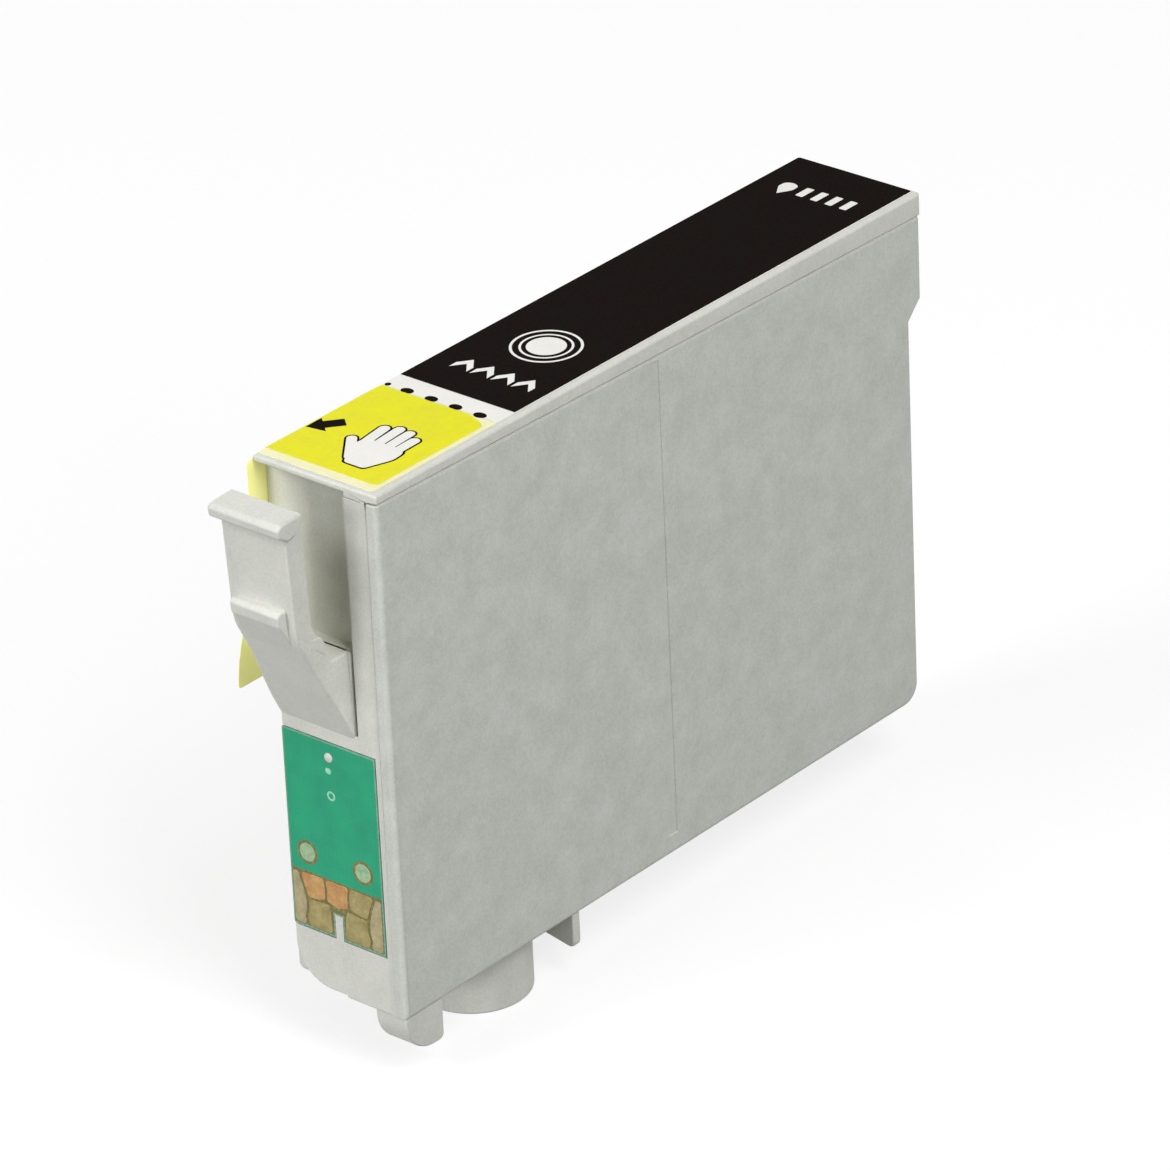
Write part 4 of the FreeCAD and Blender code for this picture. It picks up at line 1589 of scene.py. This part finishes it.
@dataclass
class Studio:
    """The floor, the light and the camera."""

    azimuth: float = -48.806
    elevation: float = 27.43
    roll: float = -2.66
    distance: float = 604.95
    lens: float = 232.32
    sensor: float = 36.0
    shift: Point = (-0.92, 0.93)
    target: Point3 = (32.0, 0.0, 22.0)
    lamps: tuple[Lamp, ...] = (
        Lamp("front_right", (-0.2, -0.75, 0.6), 0.5, 4.6),
        Lamp("front_high", (-0.1, -0.5, 0.85), 0.35, 3.1),
        Lamp("left", (-0.88, 0.2, 0.14), 0.4, 3.9),
        Lamp("left_high", (-0.7, 0.3, 0.7), 0.35, 3.5),
        Lamp("rear", (0.55, 0.85, 0.2), 0.5, 4.0),
    )
    floor_size: float = 3.0
    floor_bounce: float = 0.25
    floor_seen: float = 0.8
    floor_glow: float = 1.15
    floor_glow_share: float = 0.65
    world_light: float = 0.1

    def camera(self) -> None:
        """Makes the camera at the photograph's angle."""
        az, el, roll = (math.radians(a) for a in (self.azimuth, self.elevation, self.roll))
        back = Vector((math.sin(az) * math.cos(el), -math.cos(az) * math.cos(el), math.sin(el)))
        right = Vector((math.cos(az), math.sin(az), 0.0))
        up = back.cross(right)
        across = right * math.cos(roll) + up * math.sin(roll)
        upward = up * math.cos(roll) - right * math.sin(roll)
        place = Vector(self.target) + across * self.shift[0] + upward * self.shift[1] + back * self.distance
        data = bpy.data.cameras.new("camera")
        data.sensor_width = self.sensor
        data.lens = self.lens
        data.clip_start, data.clip_end = 0.01, 10.0
        made = put("camera", data)
        turn = Matrix((across, upward, back)).transposed().to_4x4()
        made.matrix_world = Matrix.Translation(PLACE @ place) @ turn
        bpy.context.scene.camera = made

    def build(self) -> None:
        """Builds the floor, the world, the lamps and the camera."""
        mesh = bmesh.new()
        bmesh.ops.create_grid(mesh, x_segments=1, y_segments=1, size=self.floor_size)
        floor = put("floor", plain("floor", mesh))
        floor.data.materials.append(self.floor_finish())
        self.world()
        for lamp in self.lamps:
            lamp.build()
        self.camera()
        bpy.context.scene.view_settings.view_transform = "Standard"

    def seen_directly(self, tree: Tree) -> Socket:
        """Tells what the camera sees straight, mirrored or through clear film from bounced light.

        Args:
            tree: The tree the nodes go into.

        Returns:
            1 for what is seen, and 0 for bounced light.
        """
        path = add(tree, "ShaderNodeLightPath").outputs
        seen = path["Is Camera Ray"]
        for other in ("Is Glossy Ray", "Is Transmission Ray"):
            seen = add(tree, "ShaderNodeMath", {0: seen, 1: path[other]}, operation="MAXIMUM").outputs[0]
        return seen

    def floor_finish(self) -> bpy.types.Material:
        """Makes matt white paper that the camera sees nearly as white, with the shadow kept.

        Returns:
            The material.
        """
        made = bpy.data.materials.new("white_paper_floor")
        tree = emptied(made)
        seen = self.seen_directly(tree)
        reach = {"Value": seen, "To Min": self.floor_bounce, "To Max": self.floor_seen}
        bounce = add(tree, "ShaderNodeMapRange", reach).outputs[0]
        matt = add(tree, "ShaderNodeBsdfDiffuse", {"Color": bounce}).outputs[0]
        light = {"Color": (1.0, 1.0, 1.0, 1.0), "Strength": self.floor_glow}
        glow = add(tree, "ShaderNodeEmission", light).outputs[0]
        part = {0: seen, 1: self.floor_glow_share}
        share = add(tree, "ShaderNodeMath", part, operation="MULTIPLY").outputs[0]
        mix = add(tree, "ShaderNodeMixShader", {0: share, 1: matt, 2: glow}).outputs[0]
        add(tree, "ShaderNodeOutputMaterial", {"Surface": mix})
        return made

    def world(self) -> None:
        """Sets an even pale world that the camera sees as white."""
        world = bpy.data.worlds.new("studio")
        bpy.context.scene.world = world
        tree = emptied(world)
        reach = {"Value": self.seen_directly(tree), "To Min": self.world_light, "To Max": 1.0}
        level = add(tree, "ShaderNodeMapRange", reach).outputs[0]
        sky = add(tree, "ShaderNodeBackground", {"Color": (1.0, 1.0, 1.0, 1.0), "Strength": level})
        add(tree, "ShaderNodeOutputWorld", {"Surface": sky.outputs[0]})


def paint_inside(nodes: dict[str, Piece]) -> None:
    """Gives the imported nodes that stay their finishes.

    Args:
        nodes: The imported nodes.
    """
    finishes = {
        "chip_adhesive": GLUE,
        "chip_blob": RESIN,
        "valve_plunger": ACETAL,
        "filter_screen": SCREEN,
        "wick_pad": FELT,
        "foam_block": FOAM,
        "ink_charge": INK,
        "vent_membrane": MEMBRANE,
        "vent_film": CLEAR_FILM,
        "fill_plug": RUBBER,
    }
    for name, finish in finishes.items():
        nodes[name].data.materials.clear()
        nodes[name].data.materials.append(finish.build())


def main() -> None:
    """Builds every sub-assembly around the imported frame."""
    logging.basicConfig(level=logging.INFO, format="%(name)s %(message)s")
    for start in list(bpy.data.objects):
        bpy.data.objects.remove(start)
    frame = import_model()
    nodes = frame["nodes"]
    paint_inside(nodes)
    Shell().build(nodes)
    Latch().build()
    Board().build()
    Outlet().build()
    TopStickers().build()
    Studio().build()


if __name__ == "__main__":
    main()
